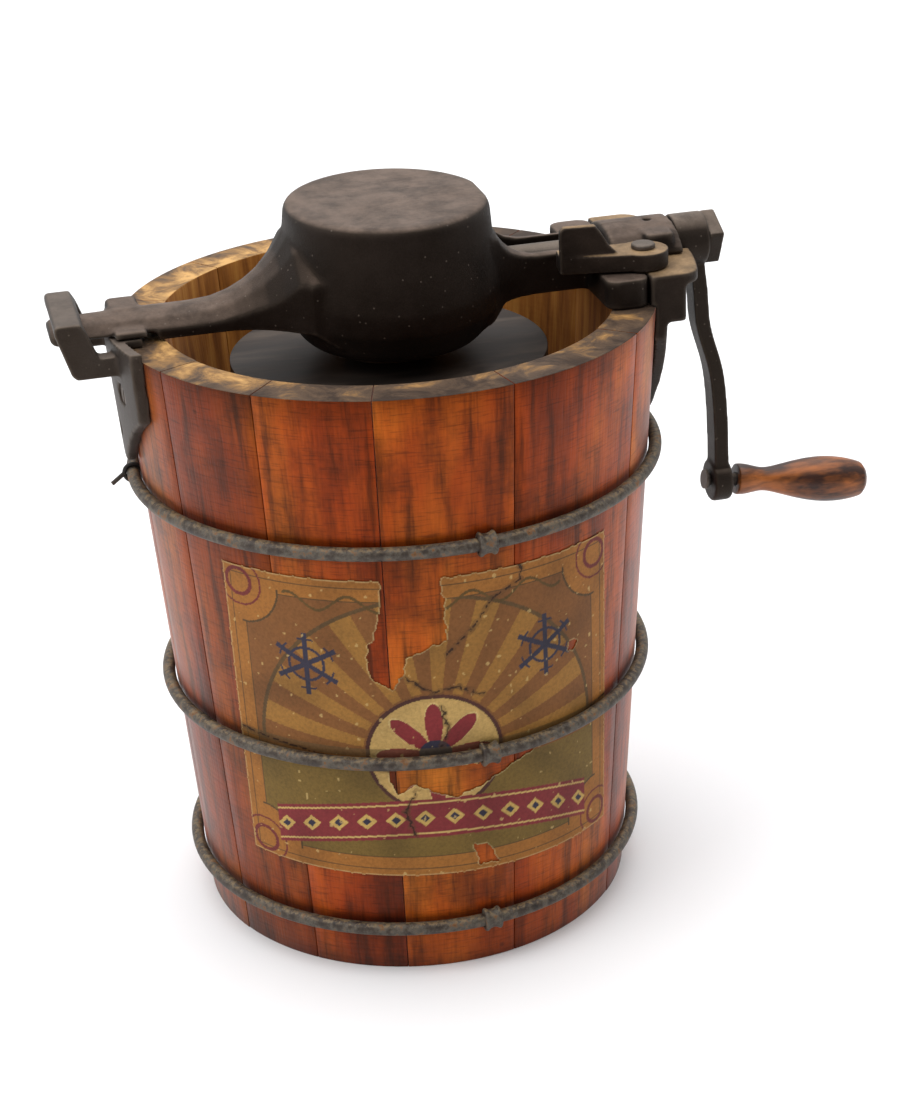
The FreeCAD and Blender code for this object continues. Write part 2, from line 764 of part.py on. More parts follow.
def frame_feet():
    """Cross feet that stand the frame on the ears and the rim."""
    rest = rim + left_hook_height + seat_gap
    front = block(left_foot_from, left_foot_to, -left_foot_half, 0, rest,
                  rim + left_foot_front_top)
    front = rounded(front, 1.5, lambda e: e.BoundBox.ZMin > rim + left_foot_front_top - 0.01)
    back = block(left_foot_from, left_foot_to, 0, left_foot_half, rest, rim + left_foot_back_top)
    back = rounded(back, 3.0, lambda e: e.BoundBox.ZMin > rim + left_foot_back_top - 0.01
                   and e.BoundBox.YMax > 1)
    left = front.fuse(back)
    right = block(right_foot_from, right_foot_to, -right_foot_half, right_foot_half,
                  rim + seat_gap, rim + right_foot_top)
    right = rounded(right, 6.0, lambda e: abs(e.BoundBox.ZLength - right_foot_top + seat_gap) < 0.01)
    boss_room = cylinder(latch_radius - 3, rim, rim + right_foot_top + 1, rivet_x, rivet_y)
    return left, right.cut(boss_room)


def shaft_tunnel():
    """Bore of both shaft bearings."""
    return rod(shaft_radius + running_clearance, 20.0, block_end + 1, 0, shaft_z)


def cover_screw_places():
    """Places of the cover's screws, clear of the arms."""
    step = 360.0 / cover_screw_count
    angles = [math.radians(90 + step * i) for i in range(cover_screw_count)]
    return [(cover_screw_circle * math.cos(a), cover_screw_circle * math.sin(a)) for a in angles]


def make_frame():
    """The gear frame: one casting of case, arms, feet and bearing block."""
    left, right = frame_feet()
    body = case_solid().fuse([left_arm(), trough(), bearing_block(), left, right])
    cavity = cylinder(case_cavity_radius, cover_bottom - 1, roof_inside)
    roof_low = shaft_z + ring_back + seat_gap
    roof_boss = tube(roof_boss_radius, journal_radius + running_clearance, roof_low,
                     roof_inside + 1)
    body = body.cut(cavity).fuse(roof_boss).cut(shaft_tunnel())
    ledge = cover_bottom + cover_thickness + cover_recess
    for x, y in cover_screw_places():
        boss = cylinder(cover_boss_radius, ledge, ledge + cover_boss_height, x, y)
        web = block(-2.5, 2.5, 0, case_cavity_radius + 1.0 - cover_screw_circle, ledge,
                    ledge + cover_boss_height)
        web.rotate(V(0, 0, 0), V(0, 0, 1), math.degrees(math.atan2(y, x)) - 90)
        web.translate(V(x, y, 0))
        screw = cylinder(cover_screw_radius + seat_clearance, ledge - 1,
                         ledge + cover_boss_height + 1, x, y)
        body = body.fuse([boss, web]).cut(screw)
    swing = latch_radius + latch_swing_gap
    room = cylinder(swing, rim + platform_height, rim + far, rivet_x, rivet_y)
    path = block(right_foot_from - 1, rivet_x, -far, rivet_y + swing, rim + platform_height,
                 rim + far)
    pocket = rod(pinion_pocket_radius, ring_hub_reach, pinion_back + seat_gap, 0, shaft_z)
    export("gear_frame", body.cut([room, path, pocket]))


def make_cover():
    """Round plate that closes the case below and carries the lower gear."""
    top = cover_bottom + cover_thickness
    plate = tube(case_cavity_radius - wood_clearance, cover_hole_radius, cover_low, top)
    ring = tube(cover_hole_radius + cover_ring_width, cover_hole_radius, cover_low,
                ring_gear_under - seat_gap)
    plate = plate.fuse(ring)
    screws = []
    for x, y in cover_screw_places():
        head_top = cover_low + cover_screw_head_height
        plate = plate.cut(cylinder(cover_screw_radius + seat_clearance, 0, top + 1, x, y))
        plate = plate.cut(cylinder(cover_screw_head + 0.1, 0, head_top, x, y))
        shank = cylinder(cover_screw_radius, head_top - 0.5, top + cover_boss_height, x, y)
        head = cylinder(cover_screw_head, cover_low, head_top, x, y)
        slot = block(x - 0.5, x + 0.5, y - far, y + far, cover_bottom, cover_bottom + 0.9)
        screws.append(shank.fuse(head).cut(slot))
    export("case_cover", plate)
    export("cover_screws", Part.makeCompound(screws))


def shield(sides, outward):
    """Ear plate on the tub's side: wide at the rim, drawn in to a tip below."""
    plate = cone_shell(wood_clearance, ear_thickness, rim - sides[-1][1], rim)
    front = [V(0, half, rim - drop) for half, drop in sides]
    front += [V(0, -half, rim - drop) for half, drop in reversed(sides)]
    return plate.common(wire_face(front).extrude(V(outward * far, 0, 0)))


def ear_screws(side, places):
    """Sunk wood screws through an ear, and the holes they need in ear and staves."""
    screws, holes = [], []
    for y, drop in places:
        z = rim - drop
        radius = wood_radius(z) + ear_thickness
        angle = math.degrees(math.asin(y / radius))
        top = radius - ear_screw_sink
        low = top - ear_screw_head_height
        shank = rod(ear_screw_radius, radius - ear_screw_length, low + 1)
        slot = block(top - slot_depth, far, -slot_width / 2, slot_width / 2, -far, far)
        screw = shank.fuse(rod(ear_screw_head, low, top)).cut(slot)
        hole = rod(ear_screw_radius + seat_clearance, radius - ear_screw_length - 1, radius)
        hole = hole.fuse(rod(ear_screw_head + head_clearance, low - seat_clearance, radius + 5))
        for shape in (screw, hole):
            shape.translate(V(0, 0, z))
            shape.rotate(V(0, 0, 0), V(0, 0, 1), angle if side > 0 else 180 - angle)
        screws.append(screw)
        holes.append(hole)
    return screws, holes


def stirrup():
    """Loop of the left ear that the frame's toe hooks under."""
    outline = [(stirrup_near, stirrup_top), (stirrup_far + 1.5, stirrup_top),
               (stirrup_far, stirrup_top - 1.5), (stirrup_far, stirrup_top - stirrup_cap),
               (stirrup_far + stirrup_lean, stirrup_low + 2),
               (stirrup_far + stirrup_lean + 2, stirrup_low),
               (-tub_top_radius - 2, stirrup_low), (-tub_top_radius - 2,
                                                    stirrup_low + stirrup_bar_height),
               (stirrup_near + stirrup_lean + 1, stirrup_low + stirrup_bar_height),
               (stirrup_near + 2.5, stirrup_top - stirrup_cap)]
    loop = extruded(outline, stirrup_half)
    passage = block(-far, 0, -stirrup_half + stirrup_bar, stirrup_half - stirrup_bar,
                    rim + stirrup_low - 1, rim + stirrup_top - stirrup_cap)
    tub = Part.makeCone(tub_foot_radius + wood_clearance, wood_radius(rim + stirrup_top)
                        + wood_clearance, rim + stirrup_top)
    return loop.cut([passage, tub])


def make_left_ear():
    """Left ear: shield, hook over the rim and stirrup."""
    plate = shield(left_ear_sides, -1)
    half = left_ear_sides[0][0]
    inner = tub_top_radius - left_hook_reach
    hook = tube(tub_top_radius + ear_thickness, inner, rim + wood_clearance / 2,
                rim + left_hook_height)
    hook = hook.common(block(-far, 0, -left_foot_half, left_foot_half, 0, far))
    neck = tube(tub_top_radius + ear_thickness, tub_top_radius + wood_clearance, rim - 2,
                rim + left_hook_height)
    neck = neck.common(block(-far, 0, -half, half, 0, far))
    screws, holes = ear_screws(-1, left_screw_places)
    ear = plate.fuse([hook, neck, stirrup()])
    export("ear_left", ear.cut(holes))
    return screws, holes


def make_right_ear():
    """Right ear: shield with the platform that the frame and the latch sit on."""
    plate = shield(right_ear_sides, 1)
    top = rim + platform_height
    half = right_ear_sides[0][0]
    limit = block(right_foot_to + 0.5, far, -half, half, 0, far)
    head = tube(platform_radius - platform_overhang, tub_top_radius + wood_clearance,
                rim - platform_drop, top - 1)
    head = head.common(limit)
    flange = cylinder(platform_radius - platform_overhang, rim + wood_clearance / 2, top - 1)
    flange = flange.common(limit)
    lip = cylinder(platform_radius, top - platform_lip, top).common(limit)
    lip = rounded(lip, platform_corner, lambda e: e.BoundBox.ZLength > platform_lip - 0.01
                  and e.BoundBox.XMin > right_foot_to + 5)
    rivet_boss = cylinder(latch_radius - 3.4, rim + wood_clearance / 2, rim + platform_height,
                          rivet_x, rivet_y)
    ear = plate.fuse([head, flange, lip, rivet_boss])
    k = keel_half_width + wood_clearance
    ear = ear.cut(block(0, far, -k, k, rim + keel_bottom - wood_clearance, rim + far))
    rivet_hole = cylinder(latch_rivet_radius + seat_clearance,
                          rim + platform_height - latch_rivet_depth - 0.3, rim + far,
                          rivet_x, rivet_y)
    ear = ear.cut(rivet_hole)
    screws, holes = ear_screws(1, right_screw_places)
    hub_room = rod(hub_radius + 1.0, block_end, far, 0, shaft_z)
    export("ear_right", ear.cut(holes + [hub_room]))
    return screws, holes


def make_latch():
    """Thumb lever that turns on a rivet and holds the frame's foot down."""
    top = latch_z + latch_thickness
    eye = cylinder(latch_radius, latch_z, top)
    h = latch_end_half
    arm = wire_face([V(0, -latch_radius + 1.5, latch_z), V(0, latch_radius - 1.5, latch_z),
                     V(latch_reach, h, latch_z), V(latch_reach, -h, latch_z)])
    arm = arm.extrude(V(0, 0, latch_thickness))
    x1, x0 = latch_reach, latch_reach - tab_length
    high = latch_z + tab_height
    side = [(x1, latch_z), (x1, high - 2.0), (x1 - 2.0, high), (x0 + 4.0, high),
            (x0 + 1.0, high - 4.0), (x0 - 2.5, high - 10.0), (x0 - 7.0, top), (x0 - 7.0, latch_z)]
    tab = wire_face([V(x, h - tab_thickness, z) for x, z in side]).extrude(V(0, tab_thickness, 0))
    lever = eye.fuse([arm, tab])
    lever = lever.cut(cylinder(latch_rivet_radius + running_clearance, 0, far))
    rivet = cylinder(latch_rivet_radius, rim + platform_height - latch_rivet_depth,
                     top + seat_gap + 0.1)
    head = cylinder(latch_rivet_head, top + seat_gap, top + seat_gap + latch_rivet_head_height)
    head = rounded(head, 1.0, lambda e: e.BoundBox.ZMin > top + 1.5)
    lever.rotate(V(0, 0, 0), V(0, 0, 1), latch_angle)
    rivet = rivet.fuse(head)
    for name, shape in (("latch_lever", lever), ("latch_rivet", rivet)):
        shape.translate(V(rivet_x, rivet_y, 0))
        export(name, shape)


def make_ears():
    """Both ears with their screws, which also bore into the staves."""
    left_screws, left_holes = make_left_ear()
    right_screws, right_holes = make_right_ear()
    export("ear_screws", Part.makeCompound(left_screws + right_screws))
    return left_holes + right_holes


def make_seat():
    """Iron seat on the tub's floor with a socket for the can's pivot, and its screws."""
    base = floor_top - wood_clearance
    boss_top = base + seat_plate_thickness + seat_boss_height
    holes = []
    seat = cylinder(seat_plate_radius, base, base + seat_plate_thickness)
    seat = seat.fuse(cylinder(seat_boss_radius, base, boss_top))
    seat = seat.cut(cylinder(pivot_radius + pivot_clearance, boss_top - seat_socket_depth, far))
    screws = []
    for i in range(seat_screw_count):
        a = math.radians(90 + 360.0 * i / seat_screw_count)
        x, y = seat_screw_circle * math.cos(a), seat_screw_circle * math.sin(a)
        plate_top = base + seat_plate_thickness
        holes.append(cylinder(seat_screw_radius + seat_clearance, 0, far, x, y))
        shank = cylinder(seat_screw_radius, plate_top - seat_screw_length, plate_top + 0.5, x, y)
        head = cylinder(2 * seat_screw_radius, plate_top + 0.1, plate_top + 2.0, x, y)
        screws.append(shank.fuse(head))
    export("pivot_seat", seat.cut(holes))
    export("seat_screws", Part.makeCompound(screws))
    return boss_top - seat_socket_depth, holes


def make_can(socket_floor):
    """Sheet can with its pivot, lid and the socket on the lid."""
    bottom = can_bottom_height
    wall = tube(can_radius, can_radius - sheet, bottom, can_top)
    export("can_wall", wall)
    floor = cylinder(can_radius - sheet - 0.02, bottom, bottom + sheet)
    hole = dasher_pin_radius + seat_clearance
    export("can_bottom", floor.cut(cylinder(hole, 0, far)))
    pivot = cylinder(pivot_radius, socket_floor + seat_gap, bottom - pivot_flange + 0.1)
    flange = cylinder(pivot_flange_radius, bottom - pivot_flange, bottom)
    pin = cylinder(dasher_pin_radius, bottom - 0.1, bottom + sheet + dasher_pin_height)
    export("can_pivot", pivot.fuse([flange, pin]))
    skirt_radius = can_radius + lid_gap
    skirt = tube(skirt_radius + sheet, skirt_radius, lid_face - lid_skirt, lid_face)
    top = cylinder(skirt_radius + sheet, lid_face - sheet + 0.02, lid_face)
    shaft_hole = cylinder(dasher_shaft_radius + lid_bore_clearance, 0, far)
    lid = skirt.fuse(top).cut(shaft_hole)
    hub = cylinder(lid_hub_radius, lid_face, lid_hub_top)
    deep = lid_hub_top - lid_hub_counterbore
    hub = hub.cut(shaft_hole).cut(cylinder(stem_radius + 0.8, deep, far))
    half = dog_width / 2 + dog_clearance
    slot_low = ring_hub_under - dog_depth - dog_clearance
    slot = block(-half, half, -far, far, slot_low, far).common(
        cylinder(gear_hub_radius + 0.5, slot_low, far))
    hub = hub.cut(slot)
    rivets = []
    for i in range(lid_rivet_count):
        a = math.radians(45 + 360.0 * i / lid_rivet_count)
        x, y = lid_rivet_circle * math.cos(a), lid_rivet_circle * math.sin(a)
        hole = cylinder(lid_rivet_radius + seat_clearance, 0, far, x, y)
        lid = lid.cut(hole)
        hub = hub.cut(hole)
        shank = cylinder(lid_rivet_radius, lid_face - sheet - 1.2, lid_hub_top - 1.0, x, y)
        head = cylinder(lid_rivet_head, lid_face - sheet - 2.2, lid_face - sheet - 0.05, x, y)
        rivets.append(shank.fuse(head))
    export("can_lid", lid)
    export("lid_socket", hub)
    export("lid_rivets", Part.makeCompound(rivets))


def make_dasher():
    """Dasher frame, its hinged wooden scrapers on their pins, and the wheel."""
    low = can_bottom_height + sheet + dasher_foot_gap
    high = can_top - dasher_head_gap
    w, b, d = dasher_half_width, dasher_bar, dasher_bar_depth / 2
    frame = block(-w, w, -d, d, low, low + b).fuse([
        block(-w, w, -d, d, high - b, high), block(-w, -w + b, -d, d, low, high),
        block(w - b, w, -d, d, low, high)])
    top_hub = cylinder(dasher_hub_radius + 1, high - b - 2, high + 2)
    bottom_hub = cylinder(dasher_hub_radius, low - 3.0, low + b + 4)
    shaft = cylinder(dasher_shaft_radius, high, stem_low - 1.2)
    half = tenon_side / 2
    tenon = block(-half, half, -half, half, stem_low - 1.3, stem_low + tenon_height - 1.0)
    pin_room = cylinder(dasher_pin_radius + pivot_clearance, low - 5,
                        can_bottom_height + sheet + dasher_pin_height + seat_gap)
    post_low = high - b - 2
    post = cylinder(wheel_post_radius, low + b + 3, post_low + 1)
    frame = frame.fuse([top_hub, bottom_hub, shaft, tenon, post]).cut(pin_room)
    hinge_x = w - b - hinge_pin_radius - 3.0
    frame = hinge_holes(frame, hinge_x, low, high)
    export("dasher_frame", frame)
    make_scrapers(hinge_x, low, high)
    make_wheel(low, high)


def hinge_holes(frame, hinge_x, low, high):
    """Holes for the scrapers' pins through the frame's two bars."""
    for side in (-1, 1):
        frame = frame.cut(cylinder(hinge_pin_radius + seat_clearance, low - 10, high + 10,
                                   side * hinge_x, 0))
    return frame


def make_scrapers(hinge_x, low, high):
    """Wooden scrapers that swing on pins and sweep the can's wall."""
    pins = []
    inside = can_radius - sheet - scraper_edge_gap
    bottom, top = low + dasher_bar + 1.0, high - dasher_bar - 1.0
    for side, name in ((1, "scraper_right"), (-1, "scraper_left")):
        edge = V(math.sqrt(inside ** 2 - scraper_sweep ** 2), scraper_sweep, bottom)
        heel = V(hinge_x, 0, bottom)
        along = (edge - heel).normalize()
        across = V(-along.y, along.x, 0) * (scraper_thickness / 2)
        far_end = edge
        points = [heel + across, heel - across, far_end - across * 0.35, far_end]
        blade = wire_face(points).extrude(V(0, 0, top - bottom))
        knuckle = cylinder(scraper_knuckle_radius, bottom, top, hinge_x, 0)
        blade = blade.fuse(knuckle)
        upright = block(dasher_half_width - dasher_bar - 0.6, far, -far, dasher_bar_depth / 2 + 0.6,
                        0, far)
        blade = blade.cut(upright)
        blade = blade.cut(cylinder(hinge_pin_radius + running_clearance, 0, far, hinge_x, 0))
        if side < 0:
            blade.rotate(V(0, 0, 0), V(0, 0, 1), 180)
        export(name, blade)
        pins.append(cylinder(hinge_pin_radius, low - 0.5, high + 0.5, side * hinge_x, 0))
    export("scraper_pins", Part.makeCompound(pins))


def make_wheel(low, high):
    """Beater wheel that spins on the dasher's middle post."""
    middle = low + wheel_height_share * (high - low)
    bottom = middle - wheel_blade_height / 2
    top = middle + wheel_blade_height / 2
    wheel = cylinder(wheel_hub_radius, bottom - 4, top + 4)
    slant = wheel_blade_height / math.sin(math.radians(90 - wheel_blade_pitch))
    for i in range(wheel_blade_count):
        blade = block(0, wheel_radius, -wheel_blade_thickness / 2, wheel_blade_thickness / 2,
                      -slant / 2, slant / 2)
        blade.rotate(V(0, 0, 0), V(1, 0, 0), wheel_blade_pitch)
        blade.translate(V(0, 0, middle))
        blade.rotate(V(0, 0, 0), V(0, 0, 1), 45 + 360.0 * i / wheel_blade_count)
        wheel = wheel.fuse(blade)
    room = tube(far, wheel_radius, bottom - far, top + far)
    wheel = wheel.cut(room)
    export("beater_wheel", wheel.cut(cylinder(wheel_post_radius + running_clearance, 0, far)))


def main():
    """Make every sub-part."""
    make_staves(make_ears())
    socket_floor, floor_holes = make_seat()
    make_floor(floor_holes)
    make_hoops()
    make_label()
    make_can_gear()
    make_dasher_gear()
    make_shaft(make_pinion())
    make_crank()
    make_frame()
    make_cover()
    make_latch()
    make_can(socket_floor)
    make_dasher()


main()
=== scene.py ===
# %% [markdown]
# # A hand crank ice cream freezer
# A stave tub holds ice and salt, and a cast iron gear frame is clamped over its rim. All the
# solids come from the CAD model, at their real size and in their real places. What is left for
# Blender is how old wood, iron, wire and paper look. Lengths are in metres.

# %% Load the solids
import math

import bpy
import numpy as np
from mathutils import Matrix, Vector, noise


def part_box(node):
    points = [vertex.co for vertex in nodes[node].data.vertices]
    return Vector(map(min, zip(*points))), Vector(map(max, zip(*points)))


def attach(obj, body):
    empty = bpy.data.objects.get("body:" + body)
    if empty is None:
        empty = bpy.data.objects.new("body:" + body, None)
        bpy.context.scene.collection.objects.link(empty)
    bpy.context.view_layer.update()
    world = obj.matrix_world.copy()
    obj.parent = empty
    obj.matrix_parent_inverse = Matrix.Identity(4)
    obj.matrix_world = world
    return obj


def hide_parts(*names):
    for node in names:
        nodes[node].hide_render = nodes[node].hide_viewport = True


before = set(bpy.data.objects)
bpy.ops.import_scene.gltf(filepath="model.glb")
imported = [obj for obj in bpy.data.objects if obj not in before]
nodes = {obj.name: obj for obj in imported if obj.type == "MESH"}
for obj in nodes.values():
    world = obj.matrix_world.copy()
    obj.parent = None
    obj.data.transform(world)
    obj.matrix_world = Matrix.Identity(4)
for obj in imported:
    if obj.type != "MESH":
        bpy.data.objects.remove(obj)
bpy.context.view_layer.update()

# %% [markdown]
# ## Colour and small helpers
# Colours are easiest to compare with a photograph as sRGB hex, but shaders work in linear light,
# so one function turns one into the other. A second one adds a shader node, fills in its values
# and plugs its inputs, which keeps each finish short enough to read. The few steps that every
# finish takes, such as darkening a colour by a layer, have a name each.

# %% Colour and node helpers


def linear(shade):
    """Linear colour from an sRGB hex value."""
    parts = [int(shade[i:i + 2], 16) / 255 for i in (1, 3, 5)]
    return [p / 12.92 if p <= 0.04045 else ((p + 0.055) / 1.055) ** 2.4 for p in parts] + [1.0]


def add(tree, kind, settings=None, links=None):
    """Add a shader node, set its values and link its inputs."""
    node = tree.nodes.new("ShaderNode" + kind)
    for key, value in (settings or {}).items():
        if key == "stops":
            ramp = node.color_ramp.elements
            while len(ramp) < len(value):
                ramp.new(1.0)
            for stop, (place, shade) in zip(ramp, value):
                stop.position = place
                stop.color = linear(shade) if isinstance(shade, str) else [shade] * 3 + [1.0]
        elif isinstance(key, str) and hasattr(node, key):
            setattr(node, key, value)
        else:
            node.inputs[key].default_value = value
    for key, socket in (links or {}).items():
        tree.links.new(socket, node.inputs[key])
    return node


def finish(name, **sockets):
    """New material with its shader's plain numbers set."""
    made = bpy.data.materials.new(name)
    made.use_nodes = True
    shader = made.node_tree.nodes["Principled BSDF"]
    for socket, value in sockets.items():
        shader.inputs[socket.replace("_", " ")].default_value = value
    return made, made.node_tree, shader


FACTOR, A, B, MIXED = 0, 6, 7, 2  # sockets of a Mix node set to colour
print("orange #B5601F in linear light:", [round(v, 3) for v in linear("#B5601F")[:3]])

# %% Steps that finishes share


def darken(tree, under, layer, share=1.0):
    """Multiply a colour by a layer."""
    mix = add(tree, "Mix", {"data_type": "RGBA", "blend_type": "MULTIPLY", FACTOR: share},
              {A: under, B: layer})
    return mix.outputs[MIXED]


def cover(tree, under, over, where):
    """Lay a layer or a plain hex colour over a colour, where a mask is white."""
    mix = add(tree, "Mix", {"data_type": "RGBA"}, {FACTOR: where, A: under})
    if isinstance(over, str):
        mix.inputs[B].default_value = linear(over)
    else:
        tree.links.new(over, mix.inputs[B])
    return mix.outputs[MIXED]


def looks_up(tree, place, low, high):
    """Mask of the faces that look up, between two values of the normal's Z."""
    up = add(tree, "SeparateXYZ", {}, {0: place.outputs["Normal"]})
    return add(tree, "ValToRGB", {"stops": [(low, 0.0), (high, 1.0)]}, {"Fac": up.outputs["Z"]})


def roughen(tree, shader, layer, low, high):
    """Let a layer set the roughness between two values."""
    rough = add(tree, "MapRange", {3: low, 4: high}, {0: layer})
    tree.links.new(rough.outputs[0], shader.inputs["Roughness"])


def emboss(tree, shader, height, strength, depth):
    """Give a finish relief from a layer, with its depth in metres."""
    bump = add(tree, "Bump", {"Strength": strength, "Distance": depth}, {"Height": height})
    tree.links.new(bump.outputs[0], shader.inputs["Normal"])


def put(name, data):
    """New object in the scene."""
    made = bpy.data.objects.new(name, data)
    bpy.context.scene.collection.objects.link(made)
    return made


print("helpers ready")

# %% [markdown]
# ## The wood
# The staves are a straight-grained softwood under old orange-brown varnish. Its grain runs up the
# stave, so noise is stretched by 20 along Z: streaks about 6 mm wide and fine lines about 1 mm
# wide. The wood is darker beside the hoops and at the foot, which is painted shade, and under the
# rim, where dirt gathers. The sawn tops are bare, grey with handling and golden where they are
# chipped, and the inside never had any varnish. Painted images could show all this too, but noise
# in real millimetres has no seams and no resolution. The painted shade and the dirt follow the
# height alone, so their places are read from the CAD model.

# %% Where the tub's rim and hoops are
HOOP_NAMES = ("hoop_top", "hoop_middle", "hoop_bottom")
HOOPS = sorted((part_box(name)[0][2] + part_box(name)[1][2]) / 2 for name in HOOP_NAMES)
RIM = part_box("stave_01")[1][2]
FOOT_RADIUS, RIM_RADIUS = 0.110, 0.130
print("rim at", round(RIM, 4), "hoops at", [round(z, 4) for z in HOOPS])

# %% Varnished stave wood


def varnished_staves():
    """Old varnish on softwood outside, worn end grain on top and bare wood inside."""
    # old varnish reflects warm light, and dust on it gives a pale sheen at the tub's sides
    made, tree, shader = finish("varnished_softwood", Coat_Weight=0.14, Coat_Roughness=0.3,
                                Specular_IOR_Level=0.25, Specular_Tint=linear("#E0903C"),
                                Sheen_Weight=0.1, Sheen_Roughness=0.4)
    place = add(tree, "TexCoord")
    board = add(tree, "ObjectInfo")
    jump = add(tree, "VectorMath", {"operation": "SCALE", 0: (3.1, 1.7, 2.3)},
               {"Scale": board.outputs["Random"]})
    spot = add(tree, "VectorMath", {"operation": "ADD"},
               {0: place.outputs["Object"], 1: jump.outputs[0]})
    long = add(tree, "Mapping", {"Scale": (1, 1, 0.05)}, {"Vector": spot.outputs[0]})
    streak = add(tree, "TexNoise", {"Scale": 170, "Detail": 5, "Roughness": 0.6},
                 {"Vector": long.outputs[0]})
    line = add(tree, "TexNoise", {"Scale": 900, "Detail": 3}, {"Vector": long.outputs[0]})
    wide = add(tree, "Mapping", {"Scale": (1, 1, 0.35)}, {"Vector": spot.outputs[0]})
    cloud = add(tree, "TexNoise", {"Scale": 18, "Detail": 3, "Roughness": 0.6},
                {"Vector": wide.outputs[0]})
    tone = add(tree, "ValToRGB", {"stops": [(0.32, "#702A0C"), (0.45, "#A5480F"),
                                            (0.55, "#BC601A"), (0.68, "#CC7E2A")]},
               {"Fac": cloud.outputs["Fac"]})
    dark = add(tree, "ValToRGB", {"stops": [(0.36, 0.35), (0.48, 0.85), (0.6, 1.0)]},
               {"Fac": streak.outputs["Fac"]})
    thin = add(tree, "ValToRGB", {"stops": [(0.32, 0.78), (0.55, 1.0)]},
               {"Fac": line.outputs["Fac"]})
    body = darken(tree, tone.outputs[0], dark.outputs[0])
    body = darken(tree, body, thin.outputs[0])
    body = darken(tree, body, board.outputs["Color"])
    # marks that the lathe left round the tub: dashes 15 mm long and under 1 mm high
    xyz = add(tree, "SeparateXYZ", {}, {0: place.outputs["Object"]})
    turn = add(tree, "Math", {"operation": "ARCTAN2"}, {0: xyz.outputs["Y"], 1: xyz.outputs["X"]})
    arc = add(tree, "Math", {"operation": "MULTIPLY", 1: 0.008}, {0: turn.outputs[0]})
    ring = add(tree, "CombineXYZ", {}, {0: arc.outputs[0], 2: xyz.outputs["Z"]})
    dash = add(tree, "TexNoise", {"Scale": 1100, "Detail": 3, "Roughness": 0.6},
               {"Vector": ring.outputs[0]})
    scored = add(tree, "ValToRGB", {"stops": [(0.36, 0.35), (0.47, 1.0)]},
                 {"Fac": dash.outputs["Fac"]})
    blotch = add(tree, "TexNoise", {"Scale": 26, "Detail": 5, "Roughness": 0.7},
                 {"Vector": spot.outputs[0]})
    grime = add(tree, "ValToRGB", {"stops": [(0.36, 0.3), (0.5, 0.85), (0.58, 1.0)]},
                {"Fac": blotch.outputs["Fac"]})
    for mark, share in ((scored, 0.6), (grime, 0.7)):
        body = darken(tree, body, mark.outputs[0], share)
    # painted shade along the hoops and at the foot, and dirt under the rim, from the height alone
    rise = add(tree, "Math", {"operation": "DIVIDE", 1: RIM}, {0: xyz.outputs["Z"]})
    stops = [(0.0, 0.45), (0.025, 0.85)]
    for hoop in HOOPS:
        stops += [(hoop / RIM - 0.026, 1.0), (hoop / RIM - 0.012, 0.5),
                  (hoop / RIM + 0.012, 0.45), (hoop / RIM + 0.024, 1.0)]
    stops += [(0.955, 1.0), (0.985, 0.72), (1.0, 0.4)]
    shade_and_dirt = add(tree, "ValToRGB", {"stops": stops}, {"Fac": rise.outputs[0]})
    body = darken(tree, body, shade_and_dirt.outputs[0], 0.8)
    # dents: small dark specks, up to 3 mm across
    speck = add(tree, "TexVoronoi", {"Scale": 38, "Randomness": 1.0}, {"Vector": spot.outputs[0]})
    dent = add(tree, "ValToRGB", {"stops": [(0.0, 0.2), (0.035, 0.45), (0.06, 1.0)]},
               {"Fac": speck.outputs["Distance"]})
    body = darken(tree, body, dent.outputs[0], 0.75)
    # bare inside: the normal points at the tub's axis there
    radial = add(tree, "VectorMath", {"operation": "MULTIPLY", 1: (1, 1, 0)},
                 {0: place.outputs["Object"]})
    facing = add(tree, "VectorMath", {"operation": "DOT_PRODUCT"},
                 {0: radial.outputs[0], 1: place.outputs["Normal"]})
    within = add(tree, "Math", {"operation": "LESS_THAN", 1: -0.02}, {0: facing.outputs["Value"]})
    bare = add(tree, "ValToRGB", {"stops": [(0.3, "#6A3C1A"), (0.5, "#9C632C"),
                                            (0.7, "#B8803E")]}, {"Fac": streak.outputs["Fac"]})
    body = cover(tree, body, bare.outputs[0], within.outputs[0])
    # sawn tops: grey-brown dirt, with golden wood where it is chipped, most of all to the left
    top = looks_up(tree, place, 0.55, 0.8)
    side = add(tree, "VectorMath", {"operation": "DOT_PRODUCT", 1: (-1, 0.6, 0)},
               {0: place.outputs["Object"]})
    side = add(tree, "MapRange", {1: -0.12, 2: 0.14}, {0: side.outputs["Value"]})
    bias = add(tree, "ValToRGB", {"stops": [(0.0, 0.05), (0.2, 0.0), (0.45, 0.05), (0.6, 0.12),
                                            (0.8, 0.17), (1.0, 0.2)]},
               {"Fac": side.outputs[0]})
    chip = add(tree, "TexNoise", {"Scale": 55, "Detail": 6, "Roughness": 0.65,
                                  "Distortion": 0.6}, {"Vector": place.outputs["Object"]})
    chip = add(tree, "Math", {"operation": "ADD"}, {0: chip.outputs["Fac"], 1: bias.outputs[0]})
    reach = add(tree, "VectorMath", {"operation": "LENGTH"}, {0: radial.outputs[0]})
    outer = add(tree, "MapRange", {1: RIM_RADIUS - 0.014, 2: RIM_RADIUS, 3: 0.0, 4: -0.14},
                {0: reach.outputs["Value"]})
    chip = add(tree, "Math", {"operation": "ADD"}, {0: chip.outputs[0], 1: outer.outputs[0]})
    end = add(tree, "ValToRGB", {"stops": [(0.38, "#2A211B"), (0.53, "#4E3E30"),
                                           (0.63, "#80603A"), (0.78, "#C2975C")]},
              {"Fac": chip.outputs[0]})
    body = cover(tree, body, end.outputs[0], top.outputs[0])
    tree.links.new(body, shader.inputs["Base Color"])
